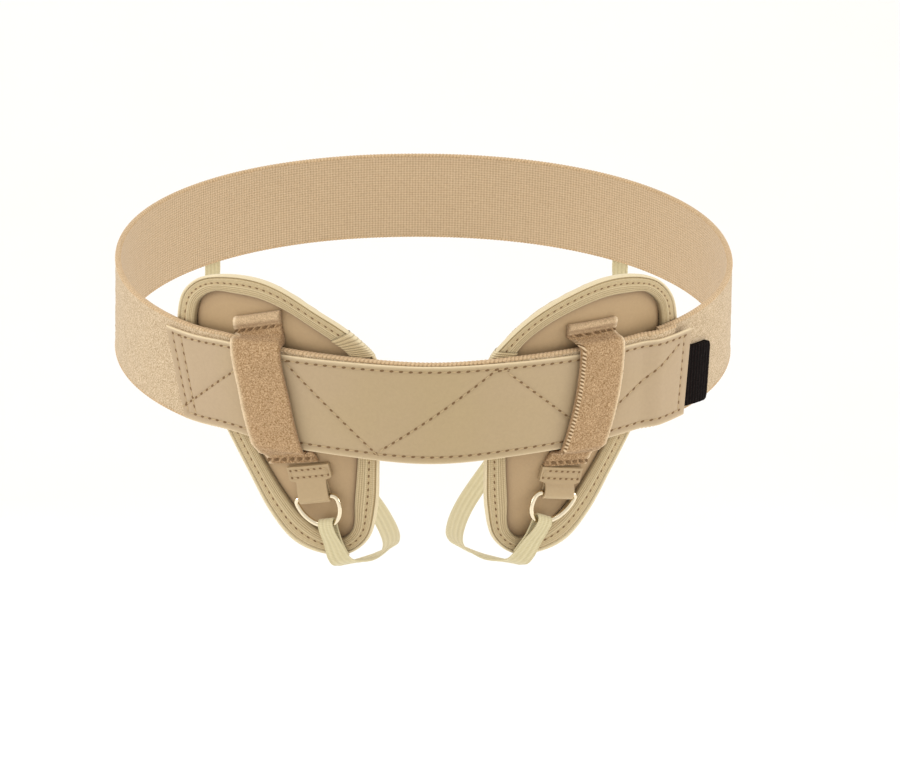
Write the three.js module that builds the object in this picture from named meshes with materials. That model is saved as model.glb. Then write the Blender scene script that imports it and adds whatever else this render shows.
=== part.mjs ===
// A hernia belt: a plush elastic band round the hips, with a stitched leather front panel, two
// teardrop pads held on the belt by plush loops, and a leg strap from a ring on each pad to the back.
//
// The belt is laid out flat and then bent onto the hips. In the layout, `along` runs from the middle
// of the front towards the viewer's right, `up` runs up the band from its middle line, and `out`
// stands off the hips, 0 on the inside face of the band.
// Millimetres, +X to the viewer's right, -Y to the front, +Z up, the origin in the middle of the loop.
import * as THREE from "three";

const { degToRad, lerp, smoothstep, clamp } = THREE.MathUtils;

// The loop that the band makes when it is worn: a rounded oval that dips at the front
const HIP_WIDTH = 307;
const HIP_DEPTH = 263;
const HIP_SQUARENESS = 2.1;
const BELT_TILT = degToRad(20.3);
const SIDE_LEAN = 0.04;

// Running gap between pieces that lie on each other
const GAP = 0.3;

// Plush elastic band: its front end backs the leather panel, its tail runs under that end
const BAND_WIDTH = 50;
const BAND_THICKNESS = 2.4;
const BAND_END = 122;
const TAIL_END = 113;
const LAP_RISE = 12;
const BAND_STEP = 10;

// Leather front panel
const LEATHER = 1.2;
const PANEL_LENGTH = 260;
const PANEL_LOW = 25;
const PANEL_HIGH = 23;
const PANEL_TAPER = 2.6;
const PANEL_LEFT_SLANT = -0.28;
const PANEL_RIGHT_SLANT = 0.075;

// Black hook tab on the right end of the front panel
const HOOK_TAB_SHOWS = 20.5;
const HOOK_TAB_LOW = 21.5;
const HOOK_TAB_HIGH = 9;
const HOOK_TAB_CORNER = 3;

// Pads: the space between them, their width, and how far they reach past the band
const PADS_APART = 49.6;
const PAD_WIDTH = 104;
const PAD_ABOVE = 30.3;
const PAD_BELOW = 56;
const PAD_DEPTH = 14;
const PAD_SIDES = 40;
const RECESS = 2.9;
const BINDING_WALL = 1.5;
const BINDING_SKIRT = 6.4;

// Plush loops that hold the pads on the belt
const LOOP_WIDTH = 24.5;
const LOOP_THICKNESS = 1.8;
const LOOP_AT = 77;
const LOOP_LEAN = 0.17;
const LOOP_BOW = 2.4;
const LOOP_SEWN_TOP = 9;
const LOOP_SEWN_BOTTOM = 8;
const LOOP_FOOT_IN = 2.5;
const LOOP_FOOT_TURN = 0.31;
const LOOP_SHOULDER = 2.8;

// Ring tabs: a folded leather tab with a wider stitched end
const TAB_AT = 60;
const TAB_BELOW_LOOP = 1.6;
const TAB_TURN = degToRad(15);
const TAB_WIDTH = 15;
const TAB_SEWN_WIDTH = 20;
const TAB_SEWN_HEIGHT = 8.6;
const TAB_NECK = 5.9;
const TAB_SHOULDER = 1;

// D-rings of bent wire
const RING_WIRE = 2.3;
const RING_SIDE_PLAY = 1.5;
const RING_REACH = 13.6;
const RING_CORNER = 2;
const RING_LIFT = 2.9;

// Leg straps of narrow elastic, looped through the rings and sewn back on themselves
const STRAP_WIDTH = 10;
const STRAP_AT_RING = 7;
const STRAP_THICKNESS = 1.2;
const STRAP_EYE_PLAY = 1.1;
const STRAP_DOUBLED = 30;
const STRAP_STEP = 6;
const STRAP_LEAD = 5;
const STRAP_UNDER_TIP = 4.3;
const CROTCH_BELOW_TIP = 8.5;
const CROTCH_HALF_WIDTH = 17.5;

// Hook tabs that end the leg straps on the back of the band
const BACK_TAB_AT = 116;
const BACK_TAB_WIDTH = 20;
const BACK_TAB_HEIGHT = 30;
const BACK_TAB_THICKNESS = 2;
const BACK_TAB_MARGIN = 3;

const plush = new THREE.MeshStandardMaterial({ color: 0xc9a983, roughness: 0.95 });
const leather = new THREE.MeshStandardMaterial({ color: 0xc0a585, roughness: 0.6 });
const bindingTape = new THREE.MeshStandardMaterial({ color: 0xcdbb8c, roughness: 0.8 });
const foamCover = new THREE.MeshStandardMaterial({ color: 0xd8c8a6, roughness: 0.9 });
const hookTape = new THREE.MeshStandardMaterial({ color: 0x1a1412, roughness: 0.8 });
const beigeHookTape = new THREE.MeshStandardMaterial({ color: 0xcbb48c, roughness: 0.8 });
const nickel = new THREE.MeshStandardMaterial({ color: 0xd8cbb0, roughness: 0.25, metalness: 1 });
const elastic = new THREE.MeshStandardMaterial({ color: 0xddd2a8, roughness: 0.85 });

// The middle line of the band in the plane of the loop, from the front towards +X
class HipLine extends THREE.Curve {
  getPoint(t, target = new THREE.Vector3()) {
    const angle = 2 * Math.PI * t;
    const bulge = (v) => Math.sign(v) * Math.abs(v) ** (2 / HIP_SQUARENESS);
    return target.set(
      (HIP_WIDTH / 2) * bulge(Math.sin(angle)),
      (-HIP_DEPTH / 2) * bulge(Math.cos(angle)),
      0,
    );
  }
}
const hipLine = new HipLine();
hipLine.arcLengthDivisions = 1440;
const HIP_GIRTH = hipLine.getLength();

// A place in the flat layout, bent onto the hips
function onHips(along, up, out) {
  const share = THREE.MathUtils.euclideanModulo(along / HIP_GIRTH, 1);
  const point = hipLine.getPointAt(share);
  const tangent = hipLine.getTangentAt(share);
  const lean = SIDE_LEAN * (point.x / (HIP_WIDTH / 2)) ** 2 * up;
  const stand = out - lean;
  return new THREE.Vector3(point.x + tangent.y * stand, point.y - tangent.x * stand, up).applyAxisAngle(
    new THREE.Vector3(1, 0, 0),
    BELT_TILT,
  );
}

// The direction that `out` has at a place in the layout
function outward(along, up) {
  return onHips(along, up, 1).sub(onHips(along, up, 0)).normalize();
}

// Moves every corner of a geometry to where `place` puts it
function bend(geometry, place) {
  const corners = geometry.getAttribute("position");
  for (let i = 0; i < corners.count; i++) {
    const moved = place(corners.getX(i), corners.getY(i), corners.getZ(i));
    corners.setXYZ(i, moved.x, moved.y, moved.z);
  }
  geometry.computeVertexNormals();
  return geometry;
}

// A strip along the belt: x and y are shares of its length and width, z of its thickness
function strip(steps, place) {
  return bend(new THREE.BoxGeometry(1, 1, 1, steps, 1, 1), (x, y, z) => place(x + 0.5, y + 0.5, z + 0.5));
}

function piece(name, geometry, material) {
  const mesh = new THREE.Mesh(geometry, material);
  mesh.name = name;
  return mesh;
}

// How far the front layers stand off where they lap over the tail of the band
function lapRise(along) {
  return (BAND_THICKNESS + GAP) * smoothstep(along, TAIL_END - GAP - LAP_RISE, TAIL_END - GAP);
}

const panelBack = BAND_THICKNESS + GAP;
const panelFace = panelBack + LEATHER;
const halfBand = BAND_WIDTH / 2;

// Even stations along the belt, with closer ones on the lap, so that layers bend at the same places
function beltStations(from, to) {
  const lapStart = TAIL_END - GAP - LAP_RISE;
  const lap = [0, 0.25, 0.5, 0.75, 1].map((share) => lapStart + share * LAP_RISE);
  const onLap = (along) => along > lapStart - BAND_STEP / 3 && along < TAIL_END + BAND_STEP / 3;
  const even = [];
  for (let i = Math.ceil(from / BAND_STEP); i * BAND_STEP < to; i++) {
    if (!onLap(i * BAND_STEP)) even.push(i * BAND_STEP);
  }
  const inside = [...even, ...lap].filter((along) => along > from + 1 && along < to - 1);
  return [from, ...inside.sort((a, b) => a - b), to];
}

function plushBand() {
  const stations = beltStations(TAIL_END - HIP_GIRTH, BAND_END);
  return strip(stations.length - 1, (x, y, z) => {
    const along = stations[Math.round(x * (stations.length - 1))];
    return onHips(along, lerp(-halfBand, halfBand, y), lapRise(along) + z * BAND_THICKNESS);
  });
}

// The ends of the leather panel slant, and its edges draw in a little towards them
function panelEnd(side, up) {
  return (side * PANEL_LENGTH) / 2 + up * (side < 0 ? PANEL_LEFT_SLANT : PANEL_RIGHT_SLANT);
}

function frontPanel() {
  const stations = beltStations(panelEnd(-1, -PANEL_LOW), panelEnd(1, -PANEL_LOW));
  const last = stations.length - 1;
  return strip(last, (x, y, z) => {
    const station = Math.round(x * last);
    const taper = PANEL_TAPER * ((2 * stations[station]) / PANEL_LENGTH) ** 2;
    const up = lerp(-PANEL_LOW + taper / 2, PANEL_HIGH - taper, y);
    let along = stations[station];
    if (station === 0) along = panelEnd(-1, up);
    if (station === last) along = panelEnd(1, up);
    return onHips(along, up, lapRise(along) + panelBack + z * LEATHER);
  });
}

// The hook tab lies between the leather and the tail, and its far corners are rounded
function hookTab() {
  const start = BAND_END + GAP;
  const end = PANEL_LENGTH / 2 + HOOK_TAB_SHOWS;
  const stations = [0, 0.25, 0.5, 0.75].map((share) => lerp(start, end - HOOK_TAB_CORNER, share));
  for (const quarter of [0, 0.35, 0.7, 1]) {
    stations.push(end - HOOK_TAB_CORNER * (1 - Math.sin((quarter * Math.PI) / 2)));
  }
  return strip(stations.length - 1, (x, y, z) => {
    const along = stations[Math.round(x * (stations.length - 1))];
    const past = Math.max(0, along - (end - HOOK_TAB_CORNER)) / HOOK_TAB_CORNER;
    const drawn = HOOK_TAB_CORNER * (1 - Math.sqrt(1 - Math.min(1, past) ** 2));
    const up = lerp(-HOOK_TAB_LOW + drawn, HOOK_TAB_HIGH - drawn, y);
    const slanted = along + PANEL_RIGHT_SLANT * up * x;
    return onHips(slanted, up, BAND_THICKNESS + GAP + z * BAND_THICKNESS);
  });
}

// Outline of the right-hand pad, from under the belt on its outer side round over the top. Each row
// is a place on the rim and the matching place on the edge of the sunk panel, as shares of the pad's
// width from its inner edge and of its height from its lower tip.
const PAD_OUTLINE = [
  { rimAcross: 1.0, rimUp: 0.71, sunkAcross: 0.88, sunkUp: 0.72 },
  { rimAcross: 0.985, rimUp: 0.83, sunkAcross: 0.875, sunkUp: 0.83 },
  { rimAcross: 0.882, rimUp: 0.927, sunkAcross: 0.79, sunkUp: 0.897 },
  { rimAcross: 0.723, rimUp: 0.983, sunkAcross: 0.685, sunkUp: 0.921 },
  { rimAcross: 0.55, rimUp: 1.0, sunkAcross: 0.55, sunkUp: 0.928 },
  { rimAcross: 0.377, rimUp: 0.972, sunkAcross: 0.406, sunkUp: 0.907 },
  { rimAcross: 0.204, rimUp: 0.906, sunkAcross: 0.271, sunkUp: 0.864 },
  { rimAcross: 0.07, rimUp: 0.815, sunkAcross: 0.165, sunkUp: 0.803 },
  { rimAcross: 0.012, rimUp: 0.755, sunkAcross: 0.117, sunkUp: 0.74 },
  { rimAcross: 0.0, rimUp: 0.595, sunkAcross: 0.1, sunkUp: 0.595 },
  { rimAcross: 0.0, rimUp: 0.375, sunkAcross: 0.1, sunkUp: 0.375 },
  { rimAcross: 0.008, rimUp: 0.19, sunkAcross: 0.113, sunkUp: 0.213 },
  { rimAcross: 0.05, rimUp: 0.07, sunkAcross: 0.123, sunkUp: 0.102 },
  { rimAcross: 0.15, rimUp: 0.006, sunkAcross: 0.175, sunkUp: 0.062 },
  { rimAcross: 0.283, rimUp: 0.004, sunkAcross: 0.262, sunkUp: 0.08 },
  { rimAcross: 0.4, rimUp: 0.038, sunkAcross: 0.362, sunkUp: 0.133 },
  { rimAcross: 0.512, rimUp: 0.132, sunkAcross: 0.449, sunkUp: 0.21 },
  { rimAcross: 0.627, rimUp: 0.279, sunkAcross: 0.56, sunkUp: 0.335 },
  { rimAcross: 0.757, rimUp: 0.438, sunkAcross: 0.652, sunkUp: 0.456 },
  { rimAcross: 0.887, rimUp: 0.581, sunkAcross: 0.772, sunkUp: 0.596 },
];
const PAD_MIDDLE = { across: 0.42, up: 0.56 };
const STRAP_AT_TIP = 0.214;

const padBottom = -halfBand - PAD_BELOW;
const padHeight = PAD_ABOVE + BAND_WIDTH + PAD_BELOW;

function padPlace(across, up) {
  return new THREE.Vector3(PADS_APART / 2 + across * PAD_WIDTH, padBottom + up * padHeight, 0);
}

const rim = new THREE.CatmullRomCurve3(
  PAD_OUTLINE.map((row) => padPlace(row.rimAcross, row.rimUp)),
  true,
);
const sunkEdge = new THREE.CatmullRomCurve3(
  PAD_OUTLINE.map((row) => padPlace(row.sunkAcross, row.sunkUp)),
  true,
);
const padMiddle = padPlace(PAD_MIDDLE.across, PAD_MIDDLE.up);

// A layer of a pad, turned from a profile whose `from` is 0 on the rim of the pad, 1 on the edge of
// the sunk panel and 2 in the middle, and whose `out` is its place in the thickness
function padLayer(profile) {
  const turned = profile.map((corner) => new THREE.Vector2(2 - corner.from, corner.out));
  return bend(new THREE.LatheGeometry(turned, PAD_SIDES), (x, y, z) => {
    const share = THREE.MathUtils.euclideanModulo(Math.atan2(x, z) / (2 * Math.PI), 1);
    const from = 2 - Math.hypot(x, z);
    const edge = sunkEdge.getPoint(share);
    const flat =
      from < 1 ? rim.getPoint(share).lerp(edge, from) : edge.lerp(padMiddle, clamp(from - 1, 0, 1));
    return onHips(flat.x, flat.y, y);
  });
}

const padFace = -GAP;
const sunkFace = padFace - RECESS;
const cushionFace = sunkFace - LEATHER - GAP;
const skirtEnd = padFace - BINDING_SKIRT;
const sharp = 0.02;

// The binding wraps the rim: a piped outer edge, a flat stitched stretch and a rolled inner edge
function padBinding() {
  return padLayer([
    { from: 0.13, out: skirtEnd },
    { from: 0.0, out: skirtEnd },
    { from: -0.04, out: lerp(skirtEnd, padFace, 0.45) },
    { from: 0.0, out: padFace - 1 },
    { from: 0.1, out: padFace },
    { from: 0.26, out: padFace - 0.8 },
    { from: 0.55, out: padFace - 0.8 },
    { from: 0.8, out: padFace },
    { from: 0.97, out: padFace - 0.7 },
    { from: 1.0, out: sunkFace },
    { from: 0.92, out: padFace - 0.7 - BINDING_WALL },
    { from: 0.2, out: padFace - 0.7 - BINDING_WALL },
    { from: 0.13, out: lerp(skirtEnd, padFace, 0.5) },
    { from: 0.13, out: skirtEnd },
  ]);
}

function padPanel() {
  return padLayer([
    { from: 2, out: sunkFace - LEATHER },
    { from: 1.5, out: sunkFace - LEATHER },
    { from: 1 + sharp, out: sunkFace - LEATHER },
    { from: 1 + sharp, out: sunkFace },
    { from: 1.5, out: sunkFace },
    { from: 2, out: sunkFace },
  ]);
}

function padCushion() {
  return padLayer([
    { from: 2, out: -PAD_DEPTH },
    { from: 1.4, out: -PAD_DEPTH },
    { from: 0.8, out: -PAD_DEPTH * 0.96 },
    { from: 0.25, out: -PAD_DEPTH * 0.84 },
    { from: 0.02, out: skirtEnd - GAP - 1 },
    { from: 0.02, out: skirtEnd - GAP },
    { from: 0.17, out: skirtEnd - GAP },
    { from: 0.24, out: cushionFace },
    { from: 1 + sharp, out: cushionFace },
    { from: 1.5, out: cushionFace },
    { from: 2, out: cushionFace },
  ]);
}

// A loop runs up from its sewn bottom end, over the belt and down to its sewn top end. Each row is
// a corner of the face next to the belt: `past` runs out from the belt's edge, and `rise` is a
// share of the way from the pad to the top of the leather.
const LOOP_CLIMB = [
  { past: 1.0, rise: 0.0 },
  { past: 0.45, rise: 0.14 },
  { past: 0.2, rise: 0.5 },
  { past: 0.12, rise: 0.8 },
  { past: 0.0, rise: 1.0 },
];
const loopFloor = sunkFace + GAP;
const loopRoof = panelFace + GAP;

function beltLoop() {
  const corner = (side) => (row) =>
    new THREE.Vector2(
      side * (halfBand + GAP + row.past * LOOP_SHOULDER),
      lerp(loopFloor, loopRoof, row.rise),
    );
  const bottomEnd = new THREE.Vector2(-halfBand - LOOP_SHOULDER - LOOP_SEWN_BOTTOM, loopFloor);
  const topEnd = new THREE.Vector2(halfBand + LOOP_SHOULDER + LOOP_SEWN_TOP, loopFloor);
  const inner = [
    bottomEnd,
    ...LOOP_CLIMB.map(corner(-1)),
    ...LOOP_CLIMB.map(corner(1)).reverse(),
    topEnd,
  ];
  const outer = inner.map((point, i) => {
    const before = inner[Math.max(0, i - 1)];
    const after = inner[Math.min(inner.length - 1, i + 1)];
    const run = after.clone().sub(before).normalize();
    return new THREE.Vector2(point.x - run.y * LOOP_THICKNESS, point.y + run.x * LOOP_THICKNESS);
  });
  const section = new THREE.Shape([...inner, ...outer.reverse()]);
  const geometry = new THREE.ExtrudeGeometry(section, { depth: LOOP_WIDTH, steps: 4, bevelEnabled: false });
  const bottom = halfBand + LOOP_SHOULDER + LOOP_SEWN_BOTTOM;
  return bend(geometry, (up, out, depth) => {
    const across = depth - LOOP_WIDTH / 2;
    const footIn = LOOP_FOOT_IN * smoothstep(-up, halfBand, bottom);
    const along = LOOP_AT + LOOP_LEAN * up - LOOP_BOW * (up / bottom) ** 2 - footIn + across;
    const onPad = smoothstep(Math.abs(up), halfBand + LOOP_SHOULDER, bottom);
    const turned = up < 0 ? LOOP_FOOT_TURN : LOOP_LEAN;
    return onHips(along, up - turned * across * onPad, out);
  });
}

// The ring's bar runs through the fold of the tab, and its bow hangs below. The tab leans with the
// pad: `across` and `up` run along its own sides from the middle of its top edge.
const tabTop = -halfBand - LOOP_SHOULDER - LOOP_SEWN_BOTTOM - TAB_BELOW_LOOP;
const neckTop = -TAB_SEWN_HEIGHT;
const barUp = neckTop - TAB_NECK;
const eyeRadius = RING_WIRE / 2 + GAP;
const tabFloor = sunkFace + GAP;
const barOut = tabFloor + LEATHER + eyeRadius;

function tabPlace(across, up, out) {
  const along = TAB_AT + across * Math.cos(TAB_TURN) + up * Math.sin(TAB_TURN);
  return onHips(along, tabTop + up * Math.cos(TAB_TURN) - across * Math.sin(TAB_TURN), out);
}

function ringTab() {
  const outerRadius = eyeRadius + LEATHER;
  const sewnFace = tabFloor + 2 * LEATHER;
  const section = new THREE.Shape();
  section.moveTo(barUp, tabFloor);
  section.lineTo(neckTop, tabFloor);
  section.lineTo(neckTop + TAB_SHOULDER, tabFloor);
  section.lineTo(0, tabFloor);
  section.lineTo(0, sewnFace);
  section.lineTo(neckTop + TAB_SHOULDER, sewnFace);
  section.lineTo(neckTop, sewnFace);
  section.lineTo(barUp + outerRadius, barOut + eyeRadius);
  for (const turn of [75, 105, 150, 195, 235]) {
    const angle = degToRad(turn);
    section.lineTo(barUp + outerRadius * Math.cos(angle), barOut + outerRadius * Math.sin(angle));
  }
  const eye = new THREE.Path();
  eye.absarc(barUp, barOut, eyeRadius, 0, 2 * Math.PI, true);
  section.holes.push(eye);
  const geometry = new THREE.ExtrudeGeometry(section, {
    depth: 1,
    steps: 3,
    curveSegments: 5,
    bevelEnabled: false,
  });
  return bend(geometry, (up, out, share) => {
    const width = lerp(TAB_WIDTH, TAB_SEWN_WIDTH, smoothstep(up, neckTop, neckTop + TAB_SHOULDER));
    return tabPlace((share - 0.5) * width, up, out);
  });
}

// The wire's middle line: a straight bar, two bent corners and a round bow
const ringHalf = TAB_WIDTH / 2 + RING_SIDE_PLAY + RING_WIRE / 2;
const ringLine = new THREE.Path();
ringLine.moveTo(ringHalf - RING_CORNER, 0);
ringLine.lineTo(RING_CORNER - ringHalf, 0);
ringLine.absarc(RING_CORNER - ringHalf, -RING_CORNER, RING_CORNER, Math.PI / 2, Math.PI, false);
ringLine.absellipse(0, -RING_CORNER, ringHalf, RING_REACH - RING_CORNER, Math.PI, 2 * Math.PI, false);
ringLine.absarc(ringHalf - RING_CORNER, -RING_CORNER, RING_CORNER, 0, Math.PI / 2, false);

function ringPlace(x, y, z) {
  return tabPlace(x, barUp + y, barOut + z - (RING_LIFT * y) / RING_REACH);
}

function dRing() {
  const torus = new THREE.TorusGeometry(ringHalf, RING_WIRE / 2, 6, 28);
  return bend(torus, (x, y, z) => {
    const share = THREE.MathUtils.euclideanModulo(Math.atan2(y, x) / (2 * Math.PI), 1);
    const middle = ringLine.getPointAt(share);
    const tangent = ringLine.getTangentAt(share);
    const from = Math.hypot(x, y) - ringHalf;
    return ringPlace(middle.x + tangent.y * from, middle.y - tangent.x * from, z);
  });
}

// Where a leg strap leaves its ring, runs over the tip of the pad, and ends on the back of the band
const backAlong = HIP_GIRTH / 2 - BACK_TAB_AT;
const backTabFace = BAND_THICKNESS + GAP + BACK_TAB_THICKNESS;
const backOut = backTabFace + GAP + STRAP_THICKNESS / 2;
const bowOut = barOut + RING_LIFT;
const layerStand = (STRAP_THICKNESS + GAP) / 2;
const tipOut = padFace + 2 * GAP + layerStand + STRAP_THICKNESS / 2;
const tipAlong = PADS_APART / 2 + STRAP_AT_TIP * PAD_WIDTH;
const crotchDrop = CROTCH_BELOW_TIP - onHips(tipAlong, padBottom, 0).z;

// The strap's free route between the legs and up the back: x is a share of the hips' half width
// past the crotch's, y of the hips' half depth and z of the crotch's drop. The face columns say
// which way its outer face looks.
const STRAP_ROUTE = [
  { x: 0.095, y: -0.58, z: -0.98, faceX: 0.0, faceY: -0.25, faceZ: -1.0 },
  { x: 0.035, y: -0.36, z: -0.985, faceX: -0.4, faceY: 0.0, faceZ: -0.9 },
  { x: 0.0, y: -0.08, z: -1.01, faceX: -0.5, faceY: 0.0, faceZ: -0.86 },
  { x: 0.0, y: 0.19, z: -1.0, faceX: -0.5, faceY: 0.0, faceZ: -0.86 },
  { x: 0.05, y: 0.48, z: -0.93, faceX: -0.4, faceY: 0.35, faceZ: -0.85 },
  { x: 0.165, y: 0.71, z: -0.78, faceX: -0.2, faceY: 0.7, faceZ: -0.6 },
  { x: 0.31, y: 0.83, z: -0.56, faceX: 0.0, faceY: 0.95, faceZ: -0.3 },
  { x: 0.45, y: 0.83, z: -0.3, faceX: 0.25, faceY: 0.95, faceZ: -0.1 },
];

function strapStations() {
  const onSurface = (along, up, out, face) => ({
    at: onHips(along, up, out),
    face: face ?? outward(along, up),
  });
  const free = STRAP_ROUTE.map((row) => ({
    at: new THREE.Vector3(
      CROTCH_HALF_WIDTH + (row.x * HIP_WIDTH) / 2,
      (row.y * HIP_DEPTH) / 2,
      row.z * crotchDrop,
    ),
    face: new THREE.Vector3(row.faceX, row.faceY, row.faceZ),
  }));
  const ringFace = outward(TAB_AT, padBottom);
  return [
    { at: ringPlace(0, -RING_REACH, 0), face: ringFace },
    { at: tabPlace(0, barUp - RING_REACH - STRAP_LEAD, bowOut), face: ringFace },
    onSurface(tipAlong, padBottom, tipOut, new THREE.Vector3(0.1, -0.85, -0.45)),
    onSurface(
      tipAlong - STRAP_UNDER_TIP / 2,
      padBottom - STRAP_UNDER_TIP,
      padFace - STRAP_THICKNESS,
      new THREE.Vector3(0.05, -0.6, -0.8),
    ),
    ...free,
    onSurface(backAlong, -halfBand - 2 * STRAP_WIDTH, backOut - STRAP_THICKNESS),
    onSurface(backAlong, -halfBand - STRAP_WIDTH / 2, backOut),
    onSurface(backAlong, -BACK_TAB_HEIGHT / 4, backOut),
    onSurface(backAlong, BACK_TAB_HEIGHT / 2 - BACK_TAB_MARGIN, backOut),
  ];
}

const strapStops = strapStations();
const strapLine = new THREE.CatmullRomCurve3(strapStops.map((stop) => stop.at));
const strapFaces = new THREE.CatmullRomCurve3(strapStops.map((stop) => stop.face));
strapLine.arcLengthDivisions = 800;

// The strap's frame at a distance from the ring
function strapFrame(distance) {
  const share = clamp(distance / strapLine.getLength(), 0, 1);
  const middle = strapLine.getPointAt(share);
  const run = strapLine.getTangentAt(share);
  const face = strapFaces.getPoint(strapLine.getUtoTmapping(share));
  face.addScaledVector(run, -face.dot(run)).normalize();
  return { middle, run, face, across: run.clone().cross(face) };
}

// Under the doubled stretch the strap runs up to the ring, turns round the wire and runs back over
function legStrap() {
  const turnRadius = RING_WIRE / 2 + STRAP_EYE_PLAY + STRAP_THICKNESS / 2;
  const under = Math.round(STRAP_DOUBLED / STRAP_STEP);
  const turn = 6;
  const over = Math.round(strapLine.getLength() / STRAP_STEP);
  const stand = (distance) => lerp(turnRadius, layerStand, smoothstep(distance, 0, 12));
  const widthAt = (distance) => lerp(STRAP_AT_RING, STRAP_WIDTH, smoothstep(distance, 2, 18));
  return strip(under + turn + over, (x, y, z) => {
    const step = Math.round(x * (under + turn + over));
    let distance = 0;
    let lean = 0;
    if (step < under) {
      distance = (under - step) * STRAP_STEP;
      lean = Math.PI;
    } else if (step < under + turn) {
      lean = Math.PI * (1 - (step - under) / turn);
    } else {
      distance = ((step - under - turn) * strapLine.getLength()) / over;
    }
    const { middle, run, face, across } = strapFrame(distance);
    const normal = face.multiplyScalar(Math.cos(lean)).addScaledVector(run, -Math.sin(lean));
    const height = stand(distance) + (z - 0.5) * STRAP_THICKNESS;
    return middle.addScaledVector(across, (y - 0.5) * -widthAt(distance)).addScaledVector(normal, height);
  });
}

function backTab() {
  return strip(4, (x, y, z) =>
    onHips(
      backAlong + (x - 0.5) * BACK_TAB_WIDTH,
      (y - 0.5) * BACK_TAB_HEIGHT,
      BAND_THICKNESS + GAP + z * BACK_TAB_THICKNESS,
    ),
  );
}

const belt = new THREE.Group();
belt.add(
  piece("plush_band", plushBand(), plush),
  piece("front_panel", frontPanel(), leather),
  piece("hook_tab", hookTab(), hookTape),
);

// The two sides mirror each other
for (const [name, side] of [
  ["right", 1],
  ["left", -1],
]) {
  const half = new THREE.Group();
  half.scale.x = side;
  half.add(
    piece("pad_cushion_" + name, padCushion(), foamCover),
    piece("pad_binding_" + name, padBinding(), bindingTape),
    piece("pad_panel_" + name, padPanel(), leather),
    piece("belt_loop_" + name, beltLoop(), plush),
    piece("ring_tab_" + name, ringTab(), leather),
    piece("d_ring_" + name, dRing(), nickel),
    piece("leg_strap_" + name, legStrap(), elastic),
    piece("back_tab_" + name, backTab(), beigeHookTape),
  );
  belt.add(half);
}

export default belt;
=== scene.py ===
# %% [markdown]
# # A hernia belt
# A band of plush elastic goes round the hips. Its front carries a stitched leather panel, and two
# teardrop pads hang on it in plush loops, each with a metal ring and an elastic leg strap.
# The plain solids come in first, as a fixed frame in metres. Everything below is made over them.

# %% Bring in the plain solids
import math

import bpy
import numpy as np
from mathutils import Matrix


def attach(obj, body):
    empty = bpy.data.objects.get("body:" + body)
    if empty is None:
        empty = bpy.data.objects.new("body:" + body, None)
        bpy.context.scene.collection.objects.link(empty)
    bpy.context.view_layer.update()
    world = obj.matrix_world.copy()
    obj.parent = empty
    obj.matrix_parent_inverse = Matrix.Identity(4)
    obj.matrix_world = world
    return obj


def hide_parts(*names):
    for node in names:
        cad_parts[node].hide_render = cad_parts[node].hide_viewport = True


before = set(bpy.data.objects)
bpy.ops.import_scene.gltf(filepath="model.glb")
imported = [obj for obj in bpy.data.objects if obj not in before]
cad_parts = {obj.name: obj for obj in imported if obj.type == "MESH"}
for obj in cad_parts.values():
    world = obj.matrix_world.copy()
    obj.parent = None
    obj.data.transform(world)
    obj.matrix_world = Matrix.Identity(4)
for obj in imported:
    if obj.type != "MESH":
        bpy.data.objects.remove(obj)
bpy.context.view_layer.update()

MM = 0.001
print("solids:", ", ".join(sorted(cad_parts)))

# %% [markdown]
# ## The camera
# The photograph was taken from a little over a metre away, almost level, with a long lens. A camera
# can be aimed by hand or from measured numbers. Here it gets its measured place and two angles. Shift
# slides the picture, as the photograph was cropped off its middle.

# %% Camera
PICTURE_WIDTH = 900
FOCAL_PIXELS = 2453
LEVEL_DOWN = math.radians(3.5)
TURNED_RIGHT = math.radians(2.0)
STANDS_AT = (-0.04354, -1.24691, 0.07631)
SHIFTED = (26.4, -89.2)
SENSOR = 36

aim = (math.pi / 2 - LEVEL_DOWN, 0, -TURNED_RIGHT)
bpy.ops.object.camera_add(location=STANDS_AT, rotation=aim)
camera = bpy.context.object
camera.name = "photo_camera"
camera.data.sensor_width = SENSOR
camera.data.lens = SENSOR * FOCAL_PIXELS / PICTURE_WIDTH
camera.data.shift_x, camera.data.shift_y = (shift / PICTURE_WIDTH for shift in SHIFTED)
bpy.context.scene.camera = camera
print("lens", round(camera.data.lens, 1), "mm")

# %% [markdown]
# ## From the cutting table to the hips
# The real belt is cut and sewn flat and bends when it is worn. Bending could be left to a curve or a
# lattice modifier, but the hips are an oval that dips at the front, so one small function gives the
# place on the hips for any place on the table. `along` runs from the middle of the front to the
# right, `up` runs up the band, and `out` stands off the hips. All three are in millimetres.

# %% The hips' oval
HIP_WIDTH, HIP_DEPTH, HIP_SQUARENESS = 307, 263, 2.1
BELT_TILT = math.radians(20.3)
SIDE_LEAN = 0.04
CLOSE_BY = 0.6


def bulge(value):
    return np.sign(value) * np.abs(value) ** (2 / HIP_SQUARENESS)


turn = np.linspace(0, 2 * np.pi, 2881)
hip_x = HIP_WIDTH / 2 * bulge(np.sin(turn))
hip_y = -HIP_DEPTH / 2 * bulge(np.cos(turn))
walked = np.concatenate([[0], np.cumsum(np.hypot(np.diff(hip_x), np.diff(hip_y)))])
GIRTH = walked[-1]
print("girth", round(GIRTH, 1), "mm")

# %% Bend a place on the table onto the hips


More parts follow.
